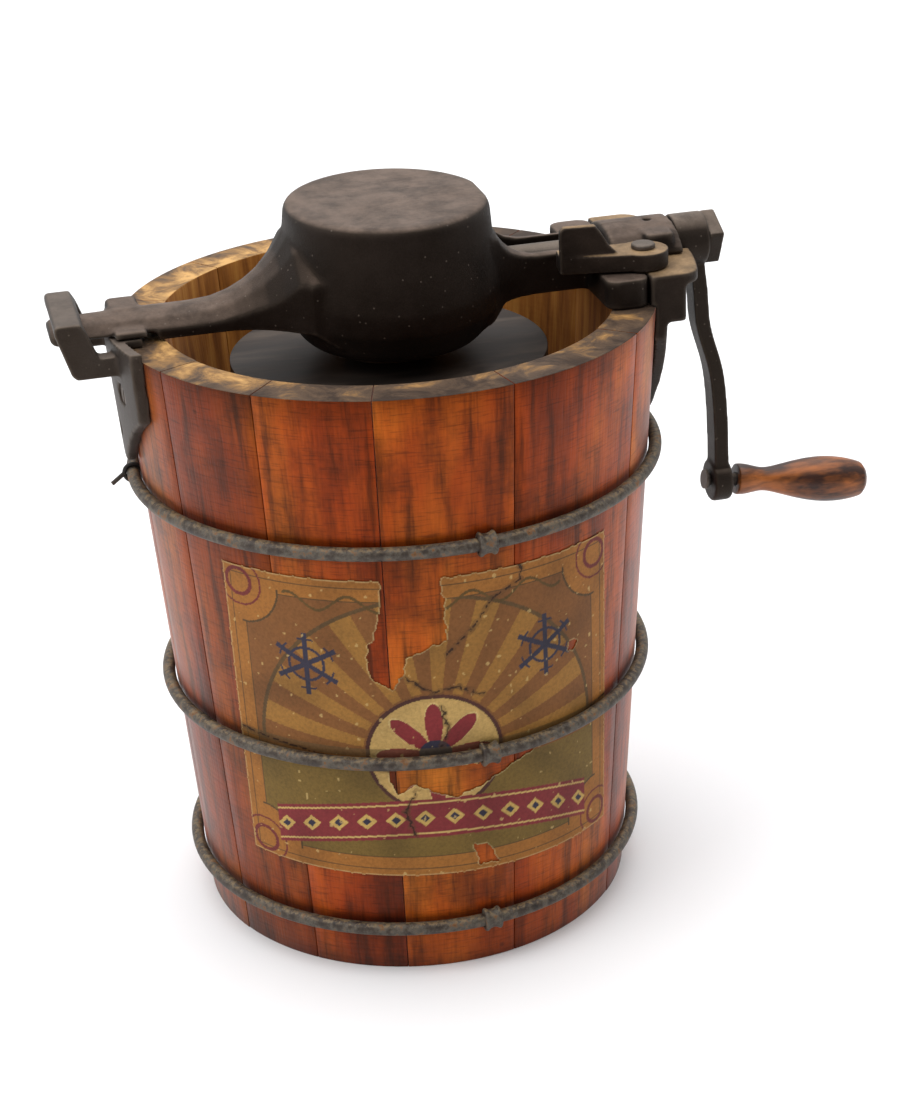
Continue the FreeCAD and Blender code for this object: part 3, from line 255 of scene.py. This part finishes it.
    # the varnish is worn unevenly, and missing inside and on top
    shine = add(tree, "MapRange", {3: 0.36, 4: 0.6}, {0: cloud.outputs["Fac"]})
    dull = add(tree, "Math", {"operation": "MAXIMUM"}, {0: top.outputs[0], 1: within.outputs[0]})
    rough = add(tree, "Mix", {"data_type": "FLOAT", 3: 0.85},
                {FACTOR: dull.outputs[0], 2: shine.outputs[0]})
    tree.links.new(rough.outputs[0], shader.inputs["Roughness"])
    # grain lines about 0.2 mm deep, and faint lathe marks round the tub 3 mm apart
    turned = add(tree, "TexWave", {"wave_type": "BANDS", "bands_direction": "Z", "Scale": 98,
                                   "Distortion": 2.0, "Detail": 2}, {"Vector": spot.outputs[0]})
    relief = add(tree, "Mix", {"data_type": "FLOAT", FACTOR: 0.12},
                 {2: line.outputs["Fac"], 3: turned.outputs["Fac"]})
    emboss(tree, shader, relief.outputs[0], 0.35, 0.0006)
    return made


stave_wood = varnished_staves()
print("stave wood:", len(stave_wood.node_tree.nodes), "shader nodes")

# %% [markdown]
# Staves are cut from different boards, so each has its own tint over the shared wood. Thirteen
# materials could do that. One material that multiplies by each object's own colour is easier to
# change, and it also shifts the grain by the object's random number.

# %% Give the staves their tints and soft edges
# stave_06 stands at the tub's right edge: its paler tint is worn wood and also painted sheen
TINTS_AND_SHEEN = {"stave_01": "#C8B4AA", "stave_02": "#BEA69A", "stave_03": "#E4C0A4",
         "stave_04": "#F8E4C8", "stave_05": "#F4D8C0", "stave_06": "#F4DCCC"}


def soften(piece, width, angle=35):
    """Join the split corners of a solid and round its edges a little."""
    weld = piece.modifiers.new("join", "WELD")
    weld.merge_threshold = 1e-5
    bevel = piece.modifiers.new("edges", "BEVEL")
    bevel.width = width
    bevel.segments = 2
    bevel.limit_method = "ANGLE"
    bevel.angle_limit = math.radians(angle)


def dress(names, made, width=0.0):
    """Put one finish on CAD nodes, with softened edges where they show."""
    for name in names:
        piece = nodes[name]
        piece.data.materials.clear()
        piece.data.materials.append(made)
        if width:
            soften(piece, width)


staves = sorted(n for n in nodes if n.startswith("stave_"))
dress(staves, stave_wood, 0.0006)
for name in staves:
    nodes[name].color = linear(TINTS_AND_SHEEN.get(name, "#DCC0AC"))
print("staves:", len(staves))

# %% [markdown]
# ## Cast iron
# The frame, ears, latch and crank came out of sand moulds. That leaves a fine grainy skin and no
# sharp edge anywhere. Iron that is oiled, rusted and dusted over hardly looks like a metal, so it
# is a dark skin with a weak, warm reflection. What faces up carries pale dust, which is also a
# painted highlight for the light that the tops get from above. The CAD edges are sharp. A bevel
# fails where many faces meet, so each casting gets a new skin instead: a voxel remesh about 1 mm
# fine and a few rounds of smoothing give it the mould's soft corners.

# %% Iron with a cast skin


def iron(name, deep, lit, dust_and_sheen, dust_and_sheen_share, fine_grain=1.0, **sockets):
    """Old cast iron: dark skin, paler worn edges, and on what faces up dust that is also a painted
    highlight.
    """
    made, tree, shader = finish(name, **sockets)
    place = add(tree, "TexCoord")
    cloud = add(tree, "TexNoise", {"Scale": 45, "Detail": 6, "Roughness": 0.65},
                {"Vector": place.outputs["Object"]})
    skin = add(tree, "ValToRGB", {"stops": [(0.32, deep), (0.68, lit)]},
               {"Fac": cloud.outputs["Fac"]})
    # sand grain about 0.8 mm, drawn as coarse as it needs to be to show
    sand = add(tree, "TexNoise", {"Scale": 1300, "Detail": 4, "Roughness": 0.7},
               {"Vector": place.outputs["Object"]})
    grain = add(tree, "ValToRGB", {"stops": [(0.35, 0.75), (0.6, 1.1)]},
                {"Fac": sand.outputs["Fac"]})
    body = darken(tree, skin.outputs[0], grain.outputs[0], 0.8)
    # dust on what faces up, pale enough to be a painted highlight too: the light the tops get from
    # above
    lying = looks_up(tree, place, 0.55, 0.95)
    patch = add(tree, "TexNoise", {"Scale": 70, "Detail": 5, "Roughness": 0.7},
                {"Vector": place.outputs["Object"]})
    patchy = add(tree, "ValToRGB", {"stops": [(0.36, 0.4), (0.62, 1.0)]},
                {"Fac": patch.outputs["Fac"]})
    share = add(tree, "Math", {"operation": "MULTIPLY"}, {0: lying.outputs[0], 1: patchy.outputs[0]})
    share = add(tree, "Math", {"operation": "MULTIPLY", 1: dust_and_sheen_share}, {0: share.outputs[0]})
    body = cover(tree, body, dust_and_sheen, share.outputs[0])
    # pale flecks of lime and dried salt, about 1 mm across
    cell = add(tree, "TexVoronoi", {"Scale": 210, "Randomness": 1.0},
               {"Vector": place.outputs["Object"]})
    fleck = add(tree, "ValToRGB", {"stops": [(0.05, 0.45), (0.12, 0.0)]},
                {"Fac": cell.outputs["Distance"]})
    body = cover(tree, body, "#6E645C", fleck.outputs[0])
    # edges that hands and other parts rub are paler
    shape = add(tree, "NewGeometry")
    edge = add(tree, "ValToRGB", {"stops": [(0.51, 0.0), (0.58, 0.35)]},
               {"Fac": shape.outputs["Pointiness"]})
    body = cover(tree, body, "#7A6E62", edge.outputs[0])
    tree.links.new(body, shader.inputs["Base Color"])
    roughen(tree, shader, cloud.outputs["Fac"], 0.42, 0.68)
    emboss(tree, shader, sand.outputs["Fac"], 0.4 * fine_grain, 0.0004)
    return made


WARM = linear("#E0C0A4")  # light that old iron gives back is browner than the light it gets
frame_iron = iron("cast_iron_skin", "#0E0B0A", "#1E1917", "#6C5C52", 0.8,
                  Specular_IOR_Level=0.22, Specular_Tint=WARM)
dusty_sheened_iron = iron("cast_iron_dust_and_sheen", "#110D0C", "#28211D", "#93795A", 0.9,
                  Specular_IOR_Level=0.2, Specular_Tint=WARM)
handled_iron = iron("cast_iron_handled", "#100E0D", "#201C1A", "#776A60", 0.75,
                    Specular_IOR_Level=0.3, Specular_Tint=WARM)
plate_iron = iron("worn_iron_plate", "#131110", "#2E2A28", "#655A52", 0.6,
                  Specular_IOR_Level=0.5, Specular_Tint=WARM)
print("iron finishes:", frame_iron.name, dusty_sheened_iron.name, handled_iron.name, plate_iron.name)

# %% Skins for the castings


def cast_skin(node, body, made, voxel, rounds, keep):
    """Replace a casting by a skin with soft edges.

    voxel is how fine the skin is, rounds is how often it is smoothed, and keep is the share of
    its faces that stay.
    """
    piece = put(node + "_skin", nodes[node].data.copy())
    skin = piece.modifiers.new("skin", "REMESH")
    skin.mode = "VOXEL"
    skin.voxel_size = voxel
    soft = piece.modifiers.new("rounding", "SMOOTH")
    soft.factor = 0.5
    soft.iterations = rounds
    thin = piece.modifiers.new("thinning", "DECIMATE")
    thin.ratio = keep
    mesh = bpy.data.meshes.new_from_object(
        piece.evaluated_get(bpy.context.evaluated_depsgraph_get()))
    piece.modifiers.clear()
    piece.data = mesh
    mesh.shade_smooth()
    mesh.materials.clear()
    mesh.materials.append(made)
    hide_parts(node)
    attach(piece, body)
    print(piece.name, len(mesh.polygons), "faces")


cast_skin("gear_frame", "tub", frame_iron, 0.0011, 7, 0.5)
cast_skin("ear_left", "tub", plate_iron, 0.0009, 5, 0.6)
cast_skin("ear_right", "tub", dusty_sheened_iron, 0.0009, 5, 0.6)
cast_skin("latch_lever", "latch", dusty_sheened_iron, 0.0006, 6, 0.6)
cast_skin("crank_arm", "crank", handled_iron, 0.0007, 7, 0.6)
cast_skin("crank_nut", "crank", handled_iron, 0.0005, 4, 0.6)

# %% [markdown]
# ## Wire hoops
# The hoops are thick galvanised wire, closed by a small iron clip at the front. Zinc goes chalky
# and grey-brown, and rust comes through it in ochre spots a few millimetres wide. One noise makes
# both: a ramp with five stops runs from dirt over zinc to rust.

# %% Galvanised wire
made, tree, shader = finish("galvanised_wire", Metallic=0.2)
place = add(tree, "TexCoord")
cloud = add(tree, "TexNoise", {"Scale": 160, "Detail": 6, "Roughness": 0.7},
            {"Vector": place.outputs["Object"]})
zinc = add(tree, "ValToRGB", {"stops": [(0.3, "#1C1510"), (0.45, "#3A2F26"), (0.56, "#565046"),
                                        (0.64, "#744C26"), (0.74, "#382616")]},
           {"Fac": cloud.outputs["Fac"]})
# a tan painted highlight along the top of the wire, in patches
lying = looks_up(tree, place, 0.5, 0.85)
fine_grain = add(tree, "TexNoise", {"Scale": 420, "Detail": 4, "Roughness": 0.7},
           {"Vector": place.outputs["Object"]})
patchy = add(tree, "ValToRGB", {"stops": [(0.47, 0.0), (0.6, 0.7)]}, {"Fac": fine_grain.outputs["Fac"]})
share = add(tree, "Math", {"operation": "MULTIPLY"}, {0: lying.outputs[0], 1: patchy.outputs[0]})
wire_top_highlight = cover(tree, zinc.outputs[0], "#86704E", share.outputs[0])
tree.links.new(wire_top_highlight, shader.inputs["Base Color"])
roughen(tree, shader, cloud.outputs["Fac"], 0.4, 0.75)
emboss(tree, shader, cloud.outputs["Fac"], 0.5, 0.0004)
galvanised = made
dress(HOOP_NAMES, galvanised)
print("hoops dressed with", galvanised.name)

# %% [markdown]
# Each clip is a short iron sleeve, pinched round the wire so that its ends stand up as two ridges.
# The CAD clip is a plain block. A turned outline along the wire is nearer, and its back is cut
# flat where the stave is close.

# %% Pinched sleeves that close the hoops
# outline along the wire, in mm: place, and radius from the wire's centre line
SLEEVE = [(-4.5, 3.25), (-4.4, 4.7), (-3.7, 5.5), (-2.7, 5.2), (-1.8, 4.4), (0.0, 4.2),
          (1.6, 4.4), (2.5, 5.0), (3.4, 5.4), (4.3, 4.7), (4.5, 3.25)]
AROUND, TALLER, BACK, DENTED, MM = 24, 1.12, 2.2, 0.05, 0.001
CLIP_TURN = math.radians(-84)


def sleeves(turn):
    """Mesh of the three sleeves, at an angle round the tub."""
    low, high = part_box("hoop_top")
    wire = (high[2] - low[2]) / 2
    outward = Vector((math.cos(turn), math.sin(turn), 0))
    along = Vector((-math.sin(turn), math.cos(turn), 0))
    corners, faces = [], []
    for hoop in HOOP_NAMES:
        low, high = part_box(hoop)
        middle = outward * (high[0] - wire) + Vector((0, 0, (low[2] + high[2]) / 2))
        first = len(corners)
        for place, radius in SLEEVE:
            for i in range(AROUND):
                spin = 2 * math.pi * i / AROUND
                dent = 1 + DENTED * noise.noise(Vector((place, 3 * math.cos(spin), first)))
                out = max(radius * dent * math.cos(spin), -BACK)
                rise = radius * dent * math.sin(spin) * TALLER
                corners.append(middle + outward * out * MM + along * place * MM
                               + Vector((0, 0, rise * MM)))
        for ring in range(len(SLEEVE) - 1):
            for i in range(AROUND):
                a, b = first + ring * AROUND + i, first + ring * AROUND + (i + 1) % AROUND
                faces.append((a, b, b + AROUND, a + AROUND))
    mesh = bpy.data.meshes.new("clip_sleeves")
    mesh.from_pydata([tuple(c) for c in corners], [], faces)
    return mesh


mesh = sleeves(CLIP_TURN)
mesh.materials.append(galvanised)
mesh.shade_smooth()
clips = put("clip_sleeves", mesh)
rounder = clips.modifiers.new("rounder", "SUBSURF")
rounder.levels = rounder.render_levels = 1
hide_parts("hoop_clips")
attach(clips, "tub")
print("sleeves:", len(mesh.polygons), "faces")

# %% [markdown]
# ## Metal inside
# Screws, pins and the shaft are cut from steel bar, the dasher is tinned iron, and the tie is a
# scorched scrap of wire. They show little, so they share the iron's shader with other colours and
# a metallic value, and keep the CAD shapes with a small bevel.

# %% Other metals
machined = iron("dull_steel", "#3A342F", "#6A6059", "#776858", 0.3, 0.5, Metallic=0.7)
tinned = iron("tinned_iron", "#6E6E6C", "#9A9A98", "#8A8072", 0.2, 0.6, Metallic=0.8)
scorched = iron("scorched_wire", "#15120F", "#2C2723", "#2C2723", 0.1, 1.0, Metallic=0.4)
dress(["latch_rivet", "crank_shaft", "pinion_pin", "ear_screws", "cover_screws", "seat_screws",
       "lid_rivets", "scraper_pins", "grip_spindle"], machined, 0.0002)
dress(["can_gear", "dasher_gear", "pinion", "case_cover", "pivot_seat", "lid_socket"], frame_iron,
      0.0004)
dress(["dasher_frame", "beater_wheel", "can_pivot"], tinned, 0.0005)
dress(["hoop_tie"], scorched)
print("inside metals dressed")

# %% [markdown]
# ## The can and its lid
# Tinned sheet steel goes dull grey with use. It is smooth, so what shows is cloudy staining and a
# soft reflection, not grain. The clouds are stretched along X, as a cloth leaves them.

# %% Dull tinplate
made, tree, shader = finish("dull_tinplate", Metallic=0.55)
place = add(tree, "TexCoord")
wiped = add(tree, "Mapping", {"Scale": (0.35, 1.5, 1)}, {"Vector": place.outputs["Object"]})
cloud = add(tree, "TexNoise", {"Scale": 42, "Detail": 6, "Roughness": 0.65, "Distortion": 0.6},
            {"Vector": wiped.outputs[0]})
grey = add(tree, "ValToRGB", {"stops": [(0.32, "#1C1715"), (0.5, "#332C28"), (0.7, "#544A42")]},
           {"Fac": cloud.outputs["Fac"]})
tree.links.new(grey.outputs[0], shader.inputs["Base Color"])
roughen(tree, shader, cloud.outputs["Fac"], 0.38, 0.62)
emboss(tree, shader, cloud.outputs["Fac"], 0.15, 0.0005)
dress(["can_wall", "can_bottom", "can_lid"], made, 0.0003)
print("tinplate:", made.name)

# %% [markdown]
# ## Plain wood
# The grip is a turned hardwood with dark varnish, rubbed through to orange where a hand holds it.
# The scrapers and the floor boards are bare. One shader serves all three: only the direction of
# its grain, its colours and the share that is worn differ.

# %% Grip and plain boards


def turned_wood(name, dark, worn, along, wear, **sockets):
    """Wood with its grain stretched by a scale, worn paler in patches."""
    made, tree, shader = finish(name, **sockets)
    place = add(tree, "TexCoord")
    long = add(tree, "Mapping", {"Scale": along}, {"Vector": place.outputs["Object"]})
    grain = add(tree, "TexNoise", {"Scale": 420, "Detail": 5, "Roughness": 0.6},
                {"Vector": long.outputs[0]})
    rubbed = add(tree, "Mapping", {"Scale": (0.3, 1, 1)}, {"Vector": place.outputs["Object"]})
    patch = add(tree, "TexNoise", {"Scale": 80, "Detail": 4, "Roughness": 0.6},
                {"Vector": rubbed.outputs[0]})
    share = add(tree, "ValToRGB", {"stops": [(wear, 0.0), (wear + 0.2, 1.0)]},
                {"Fac": patch.outputs["Fac"]})
    body = add(tree, "Mix", {"data_type": "RGBA", A: linear(dark), B: linear(worn)},
               {FACTOR: share.outputs[0]})
    line = add(tree, "ValToRGB", {"stops": [(0.35, 0.55), (0.6, 1.0)]},
               {"Fac": grain.outputs["Fac"]})
    body = darken(tree, body.outputs[MIXED], line.outputs[0])
    tree.links.new(body, shader.inputs["Base Color"])
    emboss(tree, shader, grain.outputs["Fac"], 0.3, 0.0004)
    return made


grip_wood = turned_wood("rubbed_hardwood", "#3A1E12", "#A8602A", (0.08, 1, 1), 0.44,
                        Roughness=0.42, Coat_Weight=0.12, Coat_Roughness=0.3,
                        Specular_IOR_Level=0.3)
board_wood = turned_wood("bare_board", "#7A5228", "#A87A44", (1, 0.06, 1), 0.4, Roughness=0.8)
upright_wood = turned_wood("scraper_wood", "#9A7040", "#C09A62", (1, 1, 0.06), 0.4, Roughness=0.7)
dress(["floor_board_1", "floor_board_2", "floor_board_3"], board_wood, 0.0005)
dress(["scraper_left", "scraper_right"], upright_wood, 0.0006)
cast_skin("grip", "grip", grip_wood, 0.0005, 4, 0.6)

# %% [markdown]
# ## The paper label
# A printed sheet was pasted round the front, and the years have torn it. This one has a pattern
# of its own, with a border, a sunburst, snow crystals and a ribbon. The sheet is a fine grid, 0.5
# mm a cell, whose points carry their ink colour, and the torn places are cells that are left out,
# so the wood really shows through. A transparent texture would need an image and would stay flat.

# %% The sheet and its places in millimetres
WIDE, HIGH, CELL = 200.0, 165.0, 0.5
columns, rows = int(WIDE / CELL) + 1, int(HIGH / CELL) + 1
X, Y = np.meshgrid(np.linspace(0, WIDE, columns), np.linspace(0, HIGH, rows))


def ragged(fine, layer):
    """Noise over the sheet, with so many lumps to a millimetre."""
    return np.array([[noise.noise(Vector((x * fine, y * fine, layer))) for x in X[0]]
                     for y in Y[:, 0]])


ROUGH, CLOUD = ragged(0.35, 5.0), ragged(0.045, 9.0)
print("label grid:", columns, "by", rows)

# %% [markdown]
# Each step of the print is a mask and an ink. Places and sizes are millimetres on the sheet, from
# its lower left corner: `inset` is how far a point is from the edge, `corner` from a corner's
# ornament, `reach` from the sun and `arch` from the ribbon's middle line.

# %% The print
LINE_INK, CRYSTAL_INK, DARK_INK = "#4E3B22", "#33303F", "#2F2C3C"
SUN_X, SUN_Y = 100, 70
ink = np.empty((rows, columns, 3))
ink[:] = linear("#986228")[:3]


def lay(mask, shade, cover=1.0):
    """Print a colour where the mask is true."""
    soft = np.asarray(mask, float)[..., None] * cover
    ink[:] = ink * (1 - soft) + np.array(linear(shade)[:3]) * soft


def band(distance, low, high):
    """Where a distance lies between two sizes."""
    return (distance > low) & (distance < high)


inset = np.minimum(np.minimum(X, WIDE - X), np.minimum(Y, HIGH - Y))
lay(band(inset, 4.0, 4.9) | band(inset, 6.0, 6.5), LINE_INK)
corner = np.hypot(np.minimum(X, WIDE - X) - 9, np.minimum(Y, HIGH - Y) - 9)
panel = (inset > 11) & (corner > 22)
lay(panel, "#7A4E26")
lay(panel & (Y < 62), "#705826")
lay(panel & (inset < 12) | band(corner, 21, 22) & (inset > 9), LINE_INK)
lay(band(corner, 6, 8) | band(corner, 12, 13), "#6B2A26")
turn, reach = np.arctan2(Y - SUN_Y, X - SUN_X), np.hypot(X - SUN_X, Y - SUN_Y)
rays = (np.floor((turn / math.pi) * 22) % 2 == 0) & (Y > SUN_Y)
lay(panel & rays & (reach > 34) & (reach < 86), "#94682E")
lay(panel & band(reach, 84, 86) & (Y > SUN_Y), "#5A4326")
petal = np.abs(np.cos(4 * turn)) * 24 + 5
lay(reach < 33, "#B9975A")
lay(band(reach, 31, 33), "#4A2A22")
lay(reach < petal, "#7E2A2C")
lay(band(petal - reach, 0.0, 1.0), "#C9AC70")
lay(reach < 8, DARK_INK)
for cx, cy in ((42, 118), (158, 118)):
    spin, far = np.arctan2(Y - cy, X - cx), np.hypot(X - cx, Y - cy)
    arm = np.abs(far * np.sin((spin % (math.pi / 3)) - math.pi / 6))
    lay((far < 17) & (arm < 1.3), CRYSTAL_INK)
    lay(band(far, 8, 9.4) | band(far, 13, 14) & (arm < 4), CRYSTAL_INK)
arch = Y - (34 - ((X - SUN_X) / 80) ** 2 * 12)
ribbon = (np.abs(arch) < 11) & (np.abs(X - SUN_X) < 82)
lay(ribbon, "#7A2B2D")
lay(ribbon & band(np.abs(arch), 8.2, 9.2), "#C0A060")
lozenge = np.abs((X - SUN_X) % 14 - 7) + np.abs(arch) * 1.1
lay(ribbon & (lozenge < 5), "#BE9C56")
lay(ribbon & (lozenge < 2.4), DARK_INK)
leaf = np.abs(np.sin(X * 0.22) * 4 + 152 - Y)
lay((leaf < 0.8) & (inset > 8) & (corner > 24), "#5B4420")
print("print laid on", ink.shape[0] * ink.shape[1], "points")

# %% [markdown]
# Old paper browns in clouds, loses ink in fine specks, and gets dark along its folds and where
# the hoop rubs it. Tears are outlines listed in millimetres, and a little noise roughens them.
# Points beside a tear show the paper's pale core.

# %% Ageing and tears
HOOP_MARK, TEAR_NOISE, EDGE_NOISE = 69, 1.6, 0.6
ink *= (1.0 - 0.35 * np.clip(CLOUD + 0.1, 0, 1))[..., None]
lay(ROUGH > 0.62, "#C2A468", 0.6)
lay(band(np.abs(Y - HOOP_MARK), 0, 5), "#54462E", 0.55)
TORN = [[(81, 170), (106, 170), (108, 153), (108, 132), (89, 124), (86, 113), (82, 107),
         (72, 113), (72, 126), (79, 145)],
        [(78, 64), (121, 62), (157, 66), (133, 56), (120, 49), (108, 45), (96, 50), (88, 54),
         (81, 48), (78, 55)],
        [(116, 15), (122, 15), (128, 3), (119, 4)],
        [(172.6, 109), (175, 108.6), (177, 112), (175.6, 115), (173, 114)]]
CRACKS = [[(146, 165), (146, 157), (131, 150), (121, 136), (108, 124)],
          [(88, 113), (100, 104), (112, 106), (124, 100)], [(0, 73), (36, 70), (79, 61)],
          [(121, 62), (160, 68), (200, 74)], [(104, 96), (107, 84), (103, 74)],
          [(90, 50), (84, 38), (88, 24)]]


def inside(corners, x, y):
    """Which points lie in a polygon."""
    found = np.zeros(x.shape, bool)
    for (x0, y0), (x1, y1) in zip(corners, corners[1:] + corners[:1]):
        if y0 != y1:
            found ^= ((y0 > y) != (y1 > y)) & (x < (x1 - x0) * (y - y0) / (y1 - y0) + x0)
    return found


gone = np.zeros(X.shape, bool)
for corners in TORN:
    gone |= inside(corners, X + ROUGH * TEAR_NOISE, Y + np.roll(ROUGH, 40, 1) * TEAR_NOISE)
gone |= inset < EDGE_NOISE * np.clip(ROUGH + 0.2, 0, 1)
near = np.zeros(X.shape, bool)
for step in ((2, 0), (-2, 0), (0, 2), (0, -2), (1, 1), (-1, -1)):
    near |= np.roll(gone, step, (0, 1))
lay(near & ~gone, "#C9B07C", 0.35)
for line in CRACKS:
    for (x0, y0), (x1, y1) in zip(line, line[1:]):
        share = np.clip(((X - x0) * (x1 - x0) + (Y - y0) * (y1 - y0))
                        / math.hypot(x1 - x0, y1 - y0) ** 2, 0, 1)
        far = np.hypot(X - x0 - share * (x1 - x0) + ROUGH * 2, Y - y0 - share * (y1 - y0) + ROUGH)
        lay(far < 1.6, "#54381E", 0.4)
        lay(far < 0.55, "#24150C", 0.9)
print("torn away:", round(float(gone.mean()) * 100, 1), "% of the sheet")

# %% [markdown]
# The tub is a cone, so a flat sheet round it sits a little askew. Four corners, each with an angle
# round the tub and a height, place it, and the rest follows in between. Its points lie a third of
# a millimetre off the wood, and a little more beside the tears, where the paper curls.

# %% The sheet on the tub
# angles in degrees at the lower edge, and how they change up to the upper edge
LEFT, LEFT_LEAN, RIGHT, RIGHT_LEAN = -146.0, 3.0, -44.7, -6.3
# heights in metres at the left edge, and how they change across to the right edge
LOW, LOW_SLOPE, TOP, TOP_SLOPE = 0.058, -0.0065, 0.2205, -0.0025
PASTE, CURL = 0.00036, 0.00022


def stave_radius(z):
    """Outer radius of the tub at a height, in metres."""
    return FOOT_RADIUS + (RIM_RADIUS - FOOT_RADIUS) * z / RIM


s, t = X / WIDE, Y / HIGH
left, right = LEFT + LEFT_LEAN * t, RIGHT + RIGHT_LEAN * t
angle = np.radians(left + (right - left) * s)
Z = (LOW + LOW_SLOPE * s) * (1 - t) + (TOP + TOP_SLOPE * s) * t
lift = PASTE + CURL * np.clip(ROUGH, 0, 1) * near
R = stave_radius(Z) + lift
points = np.stack([R * np.cos(angle), R * np.sin(angle), Z], -1).reshape(-1, 3)
index = np.arange(rows * columns).reshape(rows, columns)
quads = np.stack([index[:-1, :-1], index[:-1, 1:], index[1:, 1:], index[1:, :-1]], -1)
held = ~(gone[:-1, :-1] | gone[1:, 1:] | gone[:-1, 1:] | gone[1:, :-1])
quads = quads[held]
mesh = bpy.data.meshes.new("label_sheet")
mesh.from_pydata(points.tolist(), [], quads.tolist())
colour = mesh.color_attributes.new("ink", "FLOAT_COLOR", "POINT")
colour.data.foreach_set("color", np.concatenate(
    [ink, np.ones(ink.shape[:2] + (1,))], -1).astype(np.float32).ravel())
loose = put("label_sheet", mesh)
print("label:", len(quads), "cells kept")

# %% Old printed paper
made, tree, shader = finish("printed_paper", Roughness=0.6, Specular_IOR_Level=0.2)
tint = add(tree, "Attribute", {"attribute_name": "ink"})
place = add(tree, "TexCoord")
fibre = add(tree, "TexNoise", {"Scale": 600, "Detail": 5, "Roughness": 0.7},
            {"Vector": place.outputs["Object"]})
mottle = add(tree, "ValToRGB", {"stops": [(0.35, 0.72), (0.6, 1.05)]},
             {"Fac": fibre.outputs["Fac"]})
body = darken(tree, tint.outputs["Color"], mottle.outputs[0], 0.8)
tree.links.new(body, shader.inputs["Base Color"])
emboss(tree, shader, fibre.outputs["Fac"], 0.25, 0.0003)
mesh.materials.append(made)
mesh.shade_smooth()
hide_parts("label")
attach(loose, "tub")
print("paper:", made.name)

# %% [markdown]
# ## Floor, light and camera
# The photograph was taken on white card by soft light from the left and above. The floor is one
# big pale sheet. The room in front of the tub is dimmer than the white wall behind it, which is
# why the iron's fronts look black and its tops grey. The camera has the photograph's own place,
# tilt and lens, worked out from the round rim and hoops.

# %% Pale floor
made, tree, shader = finish("white_card", Roughness=0.7)
place = add(tree, "TexCoord")
fibre = add(tree, "TexNoise", {"Scale": 3, "Detail": 3}, {"Vector": place.outputs["Object"]})
shade = add(tree, "Mix", {"data_type": "RGBA", A: linear("#EEEEF0"), B: linear("#F4F4F5")},
            {FACTOR: fibre.outputs["Fac"]})
tree.links.new(shade.outputs[MIXED], shader.inputs["Base Color"])
HALF = 6
mesh = bpy.data.meshes.new("floor")
mesh.from_pydata([(-HALF, -HALF, 0), (HALF, -HALF, 0), (HALF, HALF, 0), (-HALF, HALF, 0)], [],
                 [(0, 1, 2, 3)])
mesh.materials.append(made)
floor = put("floor", mesh)
print("floor:", floor.name)

# %% Soft light
world = bpy.data.worlds.new("studio")
world.use_nodes = True
tree, sky = world.node_tree, world.node_tree.nodes["Background"]
way = add(tree, "TexCoord")
xyz = add(tree, "SeparateXYZ", {}, {0: way.outputs["Generated"]})
depth = add(tree, "MapRange", {1: -0.7, 2: 0.3}, {0: xyz.outputs["Y"]})
room = add(tree, "Mix", {"data_type": "RGBA", A: linear("#80807F"), B: linear("#F3F3F3")},
           {FACTOR: depth.outputs[0]})
# the camera itself sees a plain white wall
path = add(tree, "LightPath")
room = cover(tree, room.outputs[MIXED], "#F8F9FB", path.outputs["Is Camera Ray"])
tree.links.new(room, sky.inputs["Color"])
sky.inputs["Strength"].default_value = 1.0
bpy.context.scene.world = world
# a plain camera look: white card may clip, as it does in the photograph
bpy.context.scene.view_settings.view_transform = "Standard"


def softbox(name, place, target, size, power):
    """Square area light that faces a point."""
    data = bpy.data.lights.new(name, "AREA")
    data.size = size
    data.energy = power
    lamp = put(name, data)
    lamp.location = place
    aim = Vector(target) - Vector(place)
    lamp.rotation_euler = aim.to_track_quat("-Z", "Y").to_euler()


softbox("window", (-1.6, -0.5, 1.5), (0, 0, 0.2), 1.2, 14)
softbox("ceiling", (0.0, 0.4, 2.6), (0, 0.4, 0), 4.4, 112)
print("lamps set")

# %% Camera
EYE = Vector((-0.2149, -1.0485, 0.6714))
TILT, TURN, ROLL = math.radians(24.875), math.radians(-13), math.radians(-2.6406)
# the photograph's size and focal length in its own pixels, and a film height in mm
PHOTO_WIDE, PHOTO_HIGH, FOCAL, FILM = 905, 1100, 2329.12, 36.0
forward = Vector((-math.cos(TILT) * math.sin(TURN), math.cos(TILT) * math.cos(TURN),
                  -math.sin(TILT)))
level = Vector((math.cos(TURN), math.sin(TURN), 0))
above = level.cross(forward)
across = level * math.cos(ROLL) + above * math.sin(ROLL)
upright = above * math.cos(ROLL) - level * math.sin(ROLL)
data = bpy.data.cameras.new("camera")
data.sensor_fit = "VERTICAL"
data.sensor_height = FILM
data.sensor_width = FILM * PHOTO_WIDE / PHOTO_HIGH
data.lens = FOCAL * FILM / PHOTO_HIGH
camera = put("camera", data)
camera.matrix_world = Matrix((
    (across.x, upright.x, -forward.x, EYE.x), (across.y, upright.y, -forward.y, EYE.y),
    (across.z, upright.z, -forward.z, EYE.z), (0, 0, 0, 1)))
bpy.context.scene.camera = camera
print("camera lens", round(data.lens, 2), "mm")
